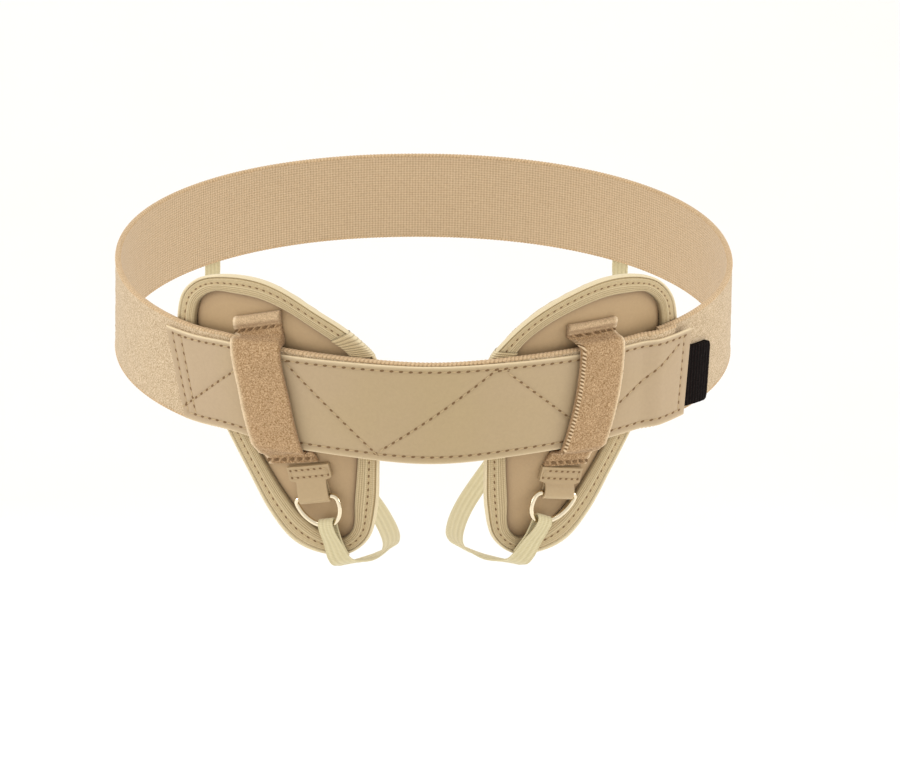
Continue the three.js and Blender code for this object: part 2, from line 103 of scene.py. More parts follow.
def on_hips(along, up, out):
    """Millimetres on the table to millimetres in the room, for whole lists of places at once."""
    along, up, out = np.broadcast_arrays(*(np.asarray(v, float) for v in (along, up, out)))

    def oval(where):
        share = np.mod(where, GIRTH)
        return np.interp(share, walked, hip_x), np.interp(share, walked, hip_y)

    x, y = oval(along)
    ahead, behind = oval(along + CLOSE_BY), oval(along - CLOSE_BY)
    run_x, run_y = ahead[0] - behind[0], ahead[1] - behind[1]
    length = np.hypot(run_x, run_y)
    stand = out - SIDE_LEAN * (x / (HIP_WIDTH / 2)) ** 2 * up
    x, y = x + run_y / length * stand, y - run_x / length * stand
    dip, rise = math.cos(BELT_TILT), math.sin(BELT_TILT)
    return np.stack([x, y * dip - up * rise, y * rise + up * dip], -1)


print("middle of the front", on_hips(0, 0, 0).round(1))

# %% [markdown]
# ## Smooth lines through a few points
# Outlines, loops and straps all follow smooth lines through a handful of points. Bezier curves would
# do, but their handles need setting one by one, so the line is a Catmull-Rom spline, which passes
# through every point by itself.

# %% A smooth line through points, and places at even distances on it


def smooth_line(points, shares, closed=False):
    points = np.asarray(points, float)
    spans = len(points) if closed else len(points) - 1
    place = np.clip(shares, 0, 1) * spans
    first = np.minimum(np.floor(place).astype(int), spans - 1)
    rest = (place - first)[..., None]
    if closed:
        p = [points[(first + k) % len(points)] for k in (-1, 0, 1, 2)]
    else:
        led = np.vstack([2 * points[0] - points[1], points, 2 * points[-1] - points[-2]])
        p = [led[first + k] for k in range(4)]
    gaps = [np.linalg.norm(p[k + 1] - p[k], axis=-1, keepdims=True) for k in range(3)]
    d = [np.maximum(gap, 1e-9) ** 0.5 for gap in gaps]
    leave = ((p[1] - p[0]) / d[0] - (p[2] - p[0]) / (d[0] + d[1]) + (p[2] - p[1]) / d[1]) * d[1]
    reach = ((p[2] - p[1]) / d[1] - (p[3] - p[1]) / (d[1] + d[2]) + (p[3] - p[2]) / d[2]) * d[1]
    bend = -3 * p[1] + 3 * p[2] - 2 * leave - reach
    twist = 2 * p[1] - 2 * p[2] + leave + reach
    return p[1] + leave * rest + bend * rest**2 + twist * rest**3


def distances(line):
    return np.concatenate([[0], np.cumsum(np.linalg.norm(np.diff(line, axis=0), axis=1))])


def at_distance(line, where):
    gone = distances(line)
    return np.stack([np.interp(where, gone, line[:, k]) for k in range(line.shape[1])], -1)


def heading_at(line, where, step):
    """The way that a line runs, one unit long, at distances along it."""
    whole = distances(line)[-1]
    ahead, behind = np.minimum(where + step, whole), np.maximum(where - step, 0)
    run = at_distance(line, ahead) - at_distance(line, behind)
    return run / np.linalg.norm(run, axis=1, keepdims=True)


def ease(value, low, high):
    """0 up to low and 1 from high on, with a soft step between."""
    share = np.clip((value - low) / (high - low), 0, 1)
    return share * share * (3 - 2 * share)


def hump(distance, reach):
    """1 at no distance, and soon 0 past the reach."""
    return np.exp(-((distance / reach) ** 2))


print("a quarter of the way round a square:", smooth_line([[0, 0], [1, 0], [1, 1], [0, 1]], 0.25, True))

# %% [markdown]
# ## Working with flat pieces
# Each flat piece starts as a grid at its real size. It gets its thickness and its rounded rim from
# modifiers while it is still flat, when that is easy, and its place on the cut is kept as a UV map, so
# that weave and grain follow the cloth. Last, every corner is moved to its place on the hips.

# %% A flat grid


def deselect():
    bpy.ops.object.select_all(action="DESELECT")


def choose(piece):
    deselect()
    piece.select_set(True)
    bpy.context.view_layer.objects.active = piece


def plain_grid(name, columns, rows):
    """A grid of one millimetre by one, for pieces whose corners are all placed one by one."""
    deselect()
    bpy.ops.mesh.primitive_grid_add(x_subdivisions=columns, y_subdivisions=rows, size=MM)
    piece = bpy.context.object
    piece.name = piece.data.name = name
    piece.data.uv_layers[0].name = "cut"
    return piece


def cut_flat(name, length, width, cell):
    """A grid at its real size, with cells of about one size."""
    piece = plain_grid(name, *(max(1, round(side / cell)) for side in (length, width)))
    bpy.ops.transform.resize(value=(length, width, 1))
    bpy.ops.object.transform_apply(location=True, rotation=True, scale=True)
    return piece


# %% Read and move corners, in millimetres


def corners(piece):
    flat = np.empty(len(piece.data.vertices) * 3)
    piece.data.vertices.foreach_get("co", flat)
    return flat.reshape(-1, 3) / MM


def put(piece, places):
    piece.data.vertices.foreach_set("co", (np.asarray(places) * MM).ravel())
    piece.data.update()


def set_cut(piece, places):
    """One place for each corner becomes the UV map, in metres."""
    ends = np.empty(len(piece.data.loops), int)
    piece.data.loops.foreach_get("vertex_index", ends)
    piece.data.uv_layers["cut"].data.foreach_set("uv", places[ends].ravel())


def keep_cut(piece):
    """The corners' places on the flat cut become the UV map."""
    set_cut(piece, corners(piece)[:, :2] * MM)


def mark(piece, values, name="painted_shade"):
    """One number for each corner, which a finish can read, such as how much painted shade the corner
    gets.
    """
    layer = piece.data.attributes.new(name, "FLOAT", "POINT")
    layer.data.foreach_set("value", np.asarray(values, np.float32))


# %% Modifiers, shading and the last words on a piece


def shape_with(piece, kind, **settings):
    choose(piece)
    modifier = piece.modifiers.new(kind.title(), kind)
    for name, value in settings.items():
        setattr(modifier, name, value)
    bpy.ops.object.modifier_apply(modifier=modifier.name)


def thicken(piece, thickness, rim):
    shape_with(piece, "SOLIDIFY", thickness=thickness * MM, offset=1)
    shape_with(piece, "BEVEL", width=rim * MM, segments=2, limit_method="ANGLE", angle_limit=1.2)


def edit_all(piece, **steps):
    """Runs mesh steps, each with its settings, on a whole piece."""
    choose(piece)
    bpy.ops.object.mode_set(mode="EDIT")
    bpy.ops.mesh.select_all(action="SELECT")
    for step, settings in steps.items():
        getattr(bpy.ops.mesh, step)(**settings)
    bpy.ops.object.mode_set(mode="OBJECT")


def close_up(piece):
    """Merges the edges where a sheet meets itself, and turns every face outwards."""
    edit_all(piece, remove_doubles={"threshold": 0.002 * MM}, normals_make_consistent={"inside": False})


def put_on_side(piece, places, side):
    """Takes places made for the right side. On the left (side -1) the piece is mirrored."""
    put(piece, places * [side, 1, 1])
    if side < 0:
        edit_all(piece, flip_normals={})


def done(piece, material, stands_for=None, crease=40):
    """Smooth shading, a finish, and a place on the belt's one body."""
    choose(piece)
    bpy.ops.object.shade_smooth_by_angle(angle=math.radians(crease))
    if not piece.data.materials:
        piece.data.materials.append(material)
    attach(piece, "root")
    if stands_for:
        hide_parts(stands_for)
    print(piece.name, len(piece.data.polygons), "faces")


def copy_of(piece, name):
    choose(piece)
    bpy.ops.object.duplicate()
    other = bpy.context.object
    other.name = other.data.name = name
    return other


pile_noise = np.random.default_rng(11)
print("table ready")

# %% [markdown]
# ## Finishes
# Every finish is mixed from nodes. One function adds a node with its settings and its links. Colours
# are written as sRGB hex values, as a colour picker shows them, and turned to linear light.

# %% Nodes and colours


def colour(code, alpha=1.0):
    parts = [int(code[i : i + 2], 16) / 255 for i in (1, 3, 5)]
    return (*(c / 12.92 if c <= 0.04045 else ((c + 0.055) / 1.055) ** 2.4 for c in parts), alpha)


def connect(tree, made, links):
    """Each socket gets a link or a plain value."""
    for socket, value in links.items():
        if isinstance(value, bpy.types.NodeSocket):
            tree.links.new(value, made.inputs[socket])
        else:
            made.inputs[socket].default_value = value


def node(tree, kind, links=None, **settings):
    made = tree.nodes.new("ShaderNode" + kind)
    for name, value in settings.items():
        setattr(made, name, value)
    connect(tree, made, links or {})
    return made


def new_finish(name):
    finish = bpy.data.materials.new(name)
    finish.use_nodes = True
    return finish, finish.node_tree, finish.node_tree.nodes["Principled BSDF"]


print("tan", [round(c, 3) for c in colour("#C3AC84")])

# %% [markdown]
# Most finishes share the same few steps, such as a noise, a blend of two colours, a bump, and the
# painted highlight and painted shade of marked corners. Each step is a short function that gives the
# socket to go on with.

# %% Steps that the finishes share


def room_place(tree):
    return node(tree, "TexCoord").outputs["Object"]


def cut_place(tree):
    return node(tree, "UVMap", uv_map="cut").outputs["UV"]


def noise(tree, place, scale, detail, **more):
    links = {"Vector": place, "Scale": scale, "Detail": detail, **more}
    return node(tree, "TexNoise", links).outputs["Fac"]


def calc(tree, operation, *values):
    return node(tree, "Math", dict(enumerate(values)), operation=operation).outputs[0]


def between(tree, value, ends=(0, 1), to=(0, 1)):
    links = {"Value": value, "From Min": ends[0], "From Max": ends[1], "To Min": to[0], "To Max": to[1]}
    return node(tree, "MapRange", links).outputs["Result"]


def blend(tree, share, low, high):
    return node(tree, "Mix", {0: share, 6: low, 7: high}, data_type="RGBA").outputs[2]


def brightened(tree, tone, value):
    return node(tree, "HueSaturation", {"Color": tone, "Value": value}).outputs["Color"]


def three_tones(tree, share, dark, middle, light, middle_at):
    ramp = node(tree, "ValToRGB", {"Fac": share})
    tones = ramp.color_ramp.elements
    tones[0].color, tones[1].color = colour(dark), colour(light)
    tones.new(middle_at).color = colour(middle)
    return ramp.outputs["Color"]


def painted_highlight_and_shade(tree, face, pale, depth, deep):
    """A face's colour, with a painted highlight on corners marked pale and painted shade on corners
    marked as shaded.
    """
    # painted shade where the shade mark is set, painted highlight where the pale mark is set
    painted_shade = node(tree, "Attribute", attribute_name="painted_shade").outputs["Fac"]
    rim = node(tree, "Attribute", attribute_name="pale").outputs["Fac"]
    lit = blend(tree, rim, face, colour(pale))
    return blend(tree, calc(tree, "MULTIPLY", painted_shade, depth), lit, colour(deep))


def bump(tree, height, strength, distance, **more):
    links = {"Height": height, "Strength": strength, "Distance": distance, **more}
    return node(tree, "Bump", links).outputs["Normal"]


print("ten steps ready")

# %% [markdown]
# ### Loop-pile elastic
# The band is a nylon and rubber elastic with a brushed loop pile that hook tape grips. Under light the
# pile shows light tips and dark gaps about a millimetre apart. Hair particles would be slow and would
# not export, so the speckle is one noise in the colour and in the bump: its dark gaps are painted shade
# and its light tips painted highlight. Sheen gives the soft edge that pile has.

# %% Loop-pile elastic


def pile_finish(name, dark, middle, light, sheen, contrast=0.17):
    finish, tree, shader = new_finish(name)
    room = room_place(tree)
    tufts = noise(tree, room, 1500, 3, Roughness=0.6)
    patches = noise(tree, room, 110, 2)
    # the tufts noise sets both colour and bump: painted shade in the gaps, painted highlight on the tips
    spread = between(tree, tufts, (0.5 - contrast, 0.5 + contrast))
    speckle = three_tones(tree, spread, dark, middle, light, 0.45)
    toned = brightened(tree, speckle, between(tree, patches, to=(0.92, 1.08)))
    look = {
        "Base Color": painted_highlight_and_shade(tree, toned, "#E4CDAA", 0.6, "#7C5E40"),
        "Normal": bump(tree, tufts, 0.5, 0.0008),
        "Roughness": 0.95,
        "Sheen Weight": sheen,
        "Sheen Roughness": 0.5,
        "Specular IOR Level": 0.2,
    }
    connect(tree, shader, look)
    return finish


band_pile = pile_finish("loop_pile_elastic", "#9D8461", "#BDA686", "#DAC6A7", 0.15)
loop_pile = pile_finish("loop_pile_elastic_narrow", "#86673F", "#AA8A65", "#CBAC86", 0.12)
edging_yarn = pile_finish("overlock_yarn", "#A98B68", "#CBAE88", "#DEC6A2", 0.1, 0.3)
print(band_pile.name, loop_pile.name, edging_yarn.name)

# %% [markdown]
# ### Coated leather
# The panel, the tabs and the pads' middles are split leather with a smooth coated face. The coat
# shows a fine pebble of half-millimetre grains, a soft shine and slow changes of tone. Painted shade
# darkens it along the rows of stitching, where the thread pulls it down, and at the pads' sunk edge.
# Painted highlight lightens the tabs where they fold round the bars and the panel's cut edges, which
# are also a little paler in their own colour. Cells from a Voronoi texture make the grain.

# %% Coated leather


def leather_finish(name, middle, ends, shade_colour, roughness):
    finish, tree, shader = new_finish(name)
    room = room_place(tree)
    along = node(tree, "SeparateXYZ", {"Vector": cut_place(tree)}).outputs["X"]
    clouds, pores = noise(tree, room, 24, 3), noise(tree, room, 700, 4)
    grain = node(tree, "TexVoronoi", {"Vector": room, "Scale": 1700}, feature="DISTANCE_TO_EDGE")
    drift = calc(tree, "MULTIPLY_ADD", calc(tree, "ABSOLUTE", along), 7.0, clouds)
    base = blend(tree, between(tree, drift, (0.5, 1.3)), colour(middle), colour(ends))
    # painted highlight on corners marked pale, and painted shade in the shade colour on shaded corners
    lit_and_shaded = painted_highlight_and_shade(tree, base, "#E6D3AE", 0.5, shade_colour)
    pebble = bump(tree, pores, 0.25, 0.0004)
    look = {
        "Base Color": brightened(tree, lit_and_shaded, between(tree, pores, to=(0.94, 1.06))),
        "Normal": bump(tree, grain.outputs["Distance"], 0.12, 0.0002, Normal=pebble),
        "Roughness": between(tree, clouds, to=(roughness - 0.06, roughness + 0.08)),
        "IOR": 1.48,
    }
    connect(tree, shader, look)
    return finish


panel_leather = leather_finish("coated_leather_tan", "#AD9771", "#AF9879", "#84684A", 0.52)
pad_leather = leather_finish("coated_leather_pad", "#AB8F68", "#AE936E", "#6B5038", 0.62)
tab_leather = leather_finish("coated_leather_tab", "#AE9671", "#B19A78", "#84684A", 0.55)
print(panel_leather.name, pad_leather.name, tab_leather.name)

# %% [markdown]
# ### Binding tape, cover knit and narrow elastic
# These are light cloths with fine threads in rows, and so is the band's inside. Two sine waves on the
# UV map draw the rows, so they turn with the cloth. A real thread is 0.3 mm thick, which the picture
# can't show, so the rows are drawn a little coarser.

# %% Cloths with threads in rows


def woven_finish(name, shade, face, glow, across, lengthwise, relief):
    finish, tree, shader = new_finish(name)
    cut = node(tree, "SeparateXYZ", {"Vector": cut_place(tree)}).outputs
    turns = [2 * math.pi / (pitch * MM) for pitch in (across, lengthwise)]
    wefts = calc(tree, "SINE", calc(tree, "MULTIPLY", cut["X"], turns[0]))
    warps = calc(tree, "SINE", calc(tree, "MULTIPLY", cut["Y"], turns[1]))
    fuzz = noise(tree, room_place(tree), 900, 3)
    threads = calc(tree, "MULTIPLY_ADD", fuzz, 3.0, calc(tree, "ADD", wefts, warps))
    height = between(tree, threads, (-0.5, 3.5))
    cloth = three_tones(tree, height, shade, face, glow, 0.5)
    look = {
        "Base Color": painted_highlight_and_shade(tree, cloth, "#E3D5B2", 0.7, "#6A5639"),
        "Normal": bump(tree, height, relief, 0.0005),
        "Roughness": 0.85,
        "Sheen Weight": 0.15,
    }
    connect(tree, shader, look)
    return finish


binding_tape = woven_finish("folded_binding_tape", "#AA956E", "#B8A37C", "#C6B48D", 0.9, 1.1, 0.15)
cover_knit = woven_finish("brushed_cover_knit", "#AF9974", "#C6B28D", "#D8C8A6", 1.3, 1.3, 0.4)
narrow_elastic = woven_finish("ribbed_narrow_elastic", "#C5B88E", "#CEC29A", "#D6CBA5", 0.8, 2.5, 0.4)
band_inside = woven_finish("band_inside_knit", "#AB9272", "#C0A684", "#D0B896", 1.6, 1.4, 0.4)
print(binding_tape.name, cover_knit.name, narrow_elastic.name, band_inside.name)

# %% [markdown]
# ### Hook tape, thread, needle holes and nickel
# Hook tape is woven nylon with rows of stiff hooks 1.2 mm apart, nearly black on the belt's closing
# tab and beige on the back. Its colour follows the hooks' height, with painted shade in the hollows
# and painted highlight on the hook tips. The thread is matt polyester. A needle hole is only a dark
# spot, painted shade where the thread dives into the cloth. The rings are wire with bright nickel
# plate, which keeps tiny draw marks along the wire.

# %% Hook tape


def hook_finish(name, deep, face, tip):
    finish, tree, shader = new_finish(name)
    cut = cut_place(tree)
    hooks = node(tree, "TexVoronoi", {"Vector": cut, "Scale": 900, "Randomness": 0.45})
    rows = node(tree, "TexWave", {"Vector": cut, "Scale": 130, "Distortion": 0.8})
    lift = calc(tree, "SUBTRACT", rows.outputs["Fac"], hooks.outputs["Distance"])
    # the colour follows the height: painted shade in the hollows, painted highlight on the tips
    look = {
        "Base Color": three_tones(tree, lift, deep, face, tip, 0.55),
        "Normal": bump(tree, lift, 0.4, 0.0006),
        "Roughness": 0.9,
        "Specular IOR Level": 0.08,
    }
    connect(tree, shader, look)
    return finish


black_hooks = hook_finish("woven_hook_tape_black", "#0A0504", "#170D0B", "#241815")
beige_hooks = hook_finish("woven_hook_tape_beige", "#957E5A", "#B9A47D", "#D2C19D")
print(black_hooks.name, beige_hooks.name)

# %% Thread, needle holes and nickel


def plain_finish(name, low, high, scale, roughness, metallic=0.0, relief=0.3, drawn=(1, 1, 1)):
    finish, tree, shader = new_finish(name)
    place = node(tree, "Mapping", {"Vector": room_place(tree), "Scale": drawn}).outputs["Vector"]
    marks = noise(tree, place, scale, 2)
    look = {
        "Base Color": blend(tree, marks, colour(low), colour(high)),
        "Normal": bump(tree, marks, relief, 0.0002),
        "Roughness": roughness,
        "Metallic": metallic,
    }
    connect(tree, shader, look)
    return finish


tan_thread = plain_finish("polyester_thread_tan", "#AC9369", "#C6AF87", 3000, 0.7)
pale_thread = plain_finish("polyester_thread_pale", "#C4A680", "#E0C9A4", 3000, 0.7)
hem_thread = plain_finish("polyester_thread_brown", "#94744F", "#BA9A72", 3000, 0.7)
# a needle hole is a dark spot of painted shade where the hole sinks into the cloth
needle_hole_shade = plain_finish("needle_hole_shade", "#6B5236", "#826645", 2000, 1.0)
nickel = ("#DDCEB0", "#EEE2C8", 500, 0.13, 1.0, 0.05, (1, 6, 6))
nickel_plate = plain_finish("bright_nickel_plate", *nickel)
print(tan_thread.name, pale_thread.name, hem_thread.name, needle_hole_shade.name, nickel_plate.name)

# %% [markdown]
# ## Stitches
# A row of machine stitching is a chain of short threads that dive into needle holes. One stitch is
# modelled once, a bead of thread and the hole that it dives into, and laid along each row in flat
# millimetres. Then the whole row bends onto the hips with the piece that it holds.

# %% One stitch, modelled once


def bead(size, segments=8, rings=5):
    deselect()
    bpy.ops.mesh.primitive_uv_sphere_add(segments=segments, ring_count=rings, radius=0.5)
    ball = bpy.context.object
    bpy.ops.transform.resize(value=size)
    bpy.ops.object.transform_apply(location=True, rotation=True, scale=True)
    places = corners(ball) * MM
    faces = [list(face.vertices) for face in ball.data.polygons]
    bpy.data.objects.remove(ball)
    return places, faces


def evenly(row, pitch):
    row = np.asarray(row, float)
    whole = distances(row)[-1]
    count = max(1, round(whole / pitch))
    where = (np.arange(count) + 0.5) * whole / count
    run = heading_at(row, where, 0.3)
    return at_distance(row, where), np.arctan2(run[:, 1], run[:, 0]), whole / count


# %% [markdown]
# Five kinds of stitch are used. Each has its thread, its pitch, the sizes of the thread and of the
# hole, how far the hole leans from the row, and how much of that lean the thread takes on.

# %% Rows of stitches
STITCHES = {
    "panel": (tan_thread, 4.3, (2.8, 0.55, 0.45), (2.1, 1.45, 0.3), 0.4, 0.3),
    "binding": (tan_thread, 3.6, (2.4, 0.6, 0.45), (1.7, 1.25, 0.3), 0.5, 0.3),
    "hem": (hem_thread, 3.6, (3.2, 1.0, 0.9), (2.9, 1.2, 0.6), -0.8, 1),
    "overcast": (pale_thread, 1.8, (2.9, 0.75, 0.6), (2.6, 0.6, 0.5), 1.0, 1),
    "box": (tan_thread, 3.1, (2.0, 0.5, 0.4), (1.6, 1.25, 0.3), 0.4, 0.3),
}
THREAD_OVER_HOLE = 0.04


def sew(name, kind, rows, place, height, side=1):
    """rows are lines of (along, up) on the table. height is a number, or a function of both."""
    thread, pitch, thread_size, hole_size, lean, twist = STITCHES[kind]
    parts = [(bead(thread_size), 0, 0.0, lean * twist), (bead(hole_size, 8, 4), 1, 0.5, lean)]
    places, faces, finishes, total = [], [], [], 0
    for row in rows:
        middle, heading, step = evenly(row, pitch)
        for (shape, its_faces), finish, ahead, leans in parts:
            turned = heading + leans
            cos, sin = np.cos(turned)[:, None], np.sin(turned)[:, None]
            moved = middle + np.column_stack([np.cos(heading), np.sin(heading)]) * ahead * step
            x = moved[:, :1] + shape[:, 0] * cos - shape[:, 1] * sin
            y = moved[:, 1:] + shape[:, 0] * sin + shape[:, 1] * cos
            on_face = height(x, y) if callable(height) else np.full(x.shape, height)
            z = on_face + shape[:, 2] + (THREAD_OVER_HOLE if finish == 0 else 0)
            places.append(place(x.ravel(), y.ravel(), z.ravel()) * [side, 1, 1])
            for i in range(len(middle)):
                first = total + i * len(shape)
                faces += [[first + corner for corner in face[::side]] for face in its_faces]
            finishes += [finish] * (len(middle) * len(its_faces))
            total += len(middle) * len(shape)
    mesh = bpy.data.meshes.new(name)
    mesh.from_pydata((np.vstack(places) * MM).tolist(), [], faces)
    mesh.polygons.foreach_set("material_index", finishes)
    mesh.materials.append(thread)
    mesh.materials.append(needle_hole_shade)
    row_piece = bpy.data.objects.new(name, mesh)
    bpy.context.collection.objects.link(row_piece)
    done(row_piece, thread)


def off_rows(places, rows):
    """How far each place on the table lies from the nearest row of stitches."""
    nearest = np.full(len(places), 1e9)
    for row in rows:
        for start, end in zip(row[:-1], row[1:]):
            start, way = np.array(start, float), np.subtract(end, start).astype(float)
            share = np.clip((places[:, :2] - start) @ way / (way @ way), 0, 1)
            off = places[:, :2] - start - share[:, None] * way
            nearest = np.minimum(nearest, np.linalg.norm(off, axis=1))
    return nearest


print("one stitch has", len(bead((1, 1, 1))[1]), "faces of thread")

# %% [markdown]
# ## The plush band
# The band is one strip of elastic, 50 mm wide, that goes all the way round. Its front end rises over
# its own tail on the right. Both long edges are whipped with yarn, and this shows above the leather
# as a twisted cord. The strip is a grid with its pile raised a little at random, and each cord is a
# sheet rolled into a tube, with slanting ridges for the turns of yarn.

# %% The strip
BAND_WIDTH, BAND_THICKNESS, BAND_END, TAIL_END, LAP_RISE, GAP = 50, 2.4, 122, 113, 12, 0.3
LEATHER = 1.2
HALF_BAND, ON_BAND = BAND_WIDTH / 2, BAND_THICKNESS + GAP
EDGE_YARN = 0.6


def settle(along):
    """The front sags a little between the pads and rides up a little beyond the left one."""
    return 1.5 * hump(along + 97, 16) - 2.1 * hump(along, 34)


def lap_rise(along):
    """How far the front layers stand off over the band's tail."""
    return ON_BAND * ease(along, TAIL_END - GAP - LAP_RISE, TAIL_END - GAP)


band_length = GIRTH + BAND_END - TAIL_END
band = cut_flat("plush_band_elastic", band_length, BAND_WIDTH - 2 * EDGE_YARN, 1.6)
thicken(band, BAND_THICKNESS, 0.8)
keep_cut(band)
flat = corners(band)
flat[:, 0] += BAND_END - band_length / 2
flat[:, 2] += pile_noise.normal(0, 0.09, len(flat))
along, up, out = flat.T
put(band, on_hips(along, up + settle(along), out + lap_rise(along)))
band.data.materials.append(band_pile)
band.data.materials.append(band_inside)
for polygon in band.data.polygons:
    polygon.material_index = int(all(flat[corner, 2] < 0.9 for corner in polygon.vertices))
done(band, band_pile, "plush_band", 60)

# %% The whipped edges
WHIP_PITCH, CORD_TALL, CORD_DEEP = 1.9, 0.95, 1.4
for side, where in ((1, "top"), (-1, "bottom")):
    cord = plain_grid("plush_band_edge_" + where, 2600, 12)
    flat = corners(cord)
    along = BAND_END - band_length * (0.5 - flat[:, 0])
    round_it = 2 * np.pi * (flat[:, 1] + 0.5)
    wave = np.sin(2 * np.pi * along / WHIP_PITCH + 2.4 * np.sin(round_it))
    up = side * (HALF_BAND - 1.1) + (CORD_TALL + 0.09 * wave) * np.cos(round_it) + settle(along)
    out = BAND_THICKNESS / 2 + (CORD_DEEP + 0.16 * wave) * np.sin(round_it)
    # painted shade in the troughs between the turns of yarn
    mark(cord, np.clip(-wave, 0, 1) ** 2 * 0.9)
    put(cord, on_hips(along, up, out + lap_rise(along)))
    close_up(cord)
    done(cord, edging_yarn, crease=70)

# %% [markdown]
# ## The leather panel
# The panel is 260 mm of leather, a little narrower towards its ends, which slant. It is sewn to the
# band along its edges, with a second row at the left end and a long zigzag from edge to edge. The
# thread pulls the leather down, so the face is pressed in along each row and swells between rows.

# %% Cut the panel
PANEL_LENGTH, PANEL_LOW, PANEL_HIGH, PANEL_TAPER = 260, 25, 23, 2.6
LEFT_SLANT, RIGHT_SLANT = -0.28, 0.075
SEWN_IN, SECOND_ROW = 3.4, 5.2


def panel_edge(along, share, inset=0.0):
    """How high the panel's edge is: share 0 is the lower edge and 1 the upper one."""
    taper = PANEL_TAPER * (2 * along / PANEL_LENGTH) ** 2
    hangs = 0.9 * hump(along, 34) - 0.6 * hump(np.abs(along) - 97, 18)
    rides = 0.8 * hump(along, 40)
    low = -PANEL_LOW + taper / 2 - hangs + inset
    high = PANEL_HIGH - taper + rides - 0.8 * inset
    return low + (high - low) * share


def slant(along):
    return np.where(along < 0, LEFT_SLANT, RIGHT_SLANT) * (2 * along / PANEL_LENGTH) ** 2


panel = plain_grid("front_panel_leather", 240, 66)
flat = corners(panel)
flat[:, 0] *= PANEL_LENGTH
flat[:, 1] = panel_edge(flat[:, 0], flat[:, 1] + 0.5)
flat[:, 0] += slant(flat[:, 0]) * flat[:, 1]
put(panel, flat)
thicken(panel, LEATHER, 0.35)
keep_cut(panel)
print("panel", round(float(np.ptp(corners(panel)[:, 0])), 1), "mm long")

# %% Its rows of stitching
inner = PANEL_LENGTH / 2 - SEWN_IN
steps = np.linspace(-inner, inner, 15)


def on_seam(along, share):
    up = panel_edge(along, share, SEWN_IN)
    return float(along + slant(along) * up), float(up)


long_rows = [[on_seam(along, share) for along in steps] for share in (0, 1)]
end_rows = (-inner, -inner + SECOND_ROW, inner - 1)
ends = [[on_seam(along, share) for share in (0, 1)] for along in end_rows]
zigzag = [(-126, -19.5), (-80, 19.5), (-69, 19.5), (-26, -22), (27.5, 19.6), (32.5, 19.5)]
zigzag += [(75.5, -20), (90, -7), (123, 14.5)]
panel_rows = [*long_rows, *ends, zigzag]

flat = corners(panel)
near = off_rows(flat, panel_rows)
face = flat[:, 2] > LEATHER / 2 + 0.1
flat[face, 2] += (0.22 * (1 - hump(near, 5)) - 0.42 * hump(near, 1.1))[face]
# painted shade along the rows of stitches, where the face is pressed in
mark(panel, np.where(face, hump(near, 0.9) * 0.5, 0))
along, up, out = flat.T
# lighter along the cut edges: partly the raw edge's own paler colour, partly painted highlight
edge = np.minimum(up - panel_edge(along, 0), panel_edge(along, 1) - up)
mark(panel, 0.75 * np.exp(-np.maximum(0, edge - 0.2) / 0.5), "pale")
put(panel, on_hips(along, up + settle(along), out + ON_BAND + lap_rise(along)))
done(panel, panel_leather, "front_panel")

# %% Sew it


def panel_face(along, up):
    return ON_BAND + LEATHER - 0.38 + lap_rise(along)


def settled(along, up, out):
    return on_hips(along, up + settle(along), out)


sew("front_panel_stitching", "panel", panel_rows, settled, panel_face)

# %% [markdown]
# ## The hook tab
# A black tab of hook tape under the leather's right end closes the belt on the plush. Its far corners
# are rounded by drawing its end in along a quarter circle before it gets its thickness.

# %% Hook tab
TAB_START, TAB_END, TAB_LOW, TAB_HIGH = BAND_END + GAP, PANEL_LENGTH / 2 + 21.5, -21.5, 9.5
TAB_LONG, TAB_TALL, TAB_CORNER = TAB_END - TAB_START, TAB_HIGH - TAB_LOW, 3
hook_tab = cut_flat("hook_tab_tape", TAB_LONG, TAB_TALL, 0.8)
flat = corners(hook_tab)
far = np.maximum(0, flat[:, 0] - TAB_LONG / 2 + TAB_CORNER)
drawn = TAB_CORNER - np.sqrt(np.maximum(0, TAB_CORNER**2 - far**2))
flat[:, 1] *= 1 - 2 * drawn / TAB_TALL
put(hook_tab, flat)
thicken(hook_tab, 2.2, 0.4)
keep_cut(hook_tab)
flat = corners(hook_tab)
face = flat[:, 2] > 1.5
flat[face, 2] += pile_noise.normal(0, 0.07, face.sum())
across = flat[:, 0] + (TAB_START + TAB_END) / 2
up = flat[:, 1] + (TAB_LOW + TAB_HIGH) / 2
past = (across - TAB_START) / TAB_LONG
across += RIGHT_SLANT * up * past
put(hook_tab, on_hips(across, up + 2.2 - 5.4 * past, flat[:, 2] + ON_BAND))
done(hook_tab, black_hooks, "hook_tab")

# %% [markdown]
# ## The pads
# A pad is a teardrop of foam in a knitted cover. A tape binding goes round it: a piped outer edge, a
# stitched stretch and a few rolled ribs, and inside it lies a sunk piece of leather. The outline is
# two smooth closed lines, the rim and the edge of the sunk leather, and each layer of the pad is a
# profile carried round between them.

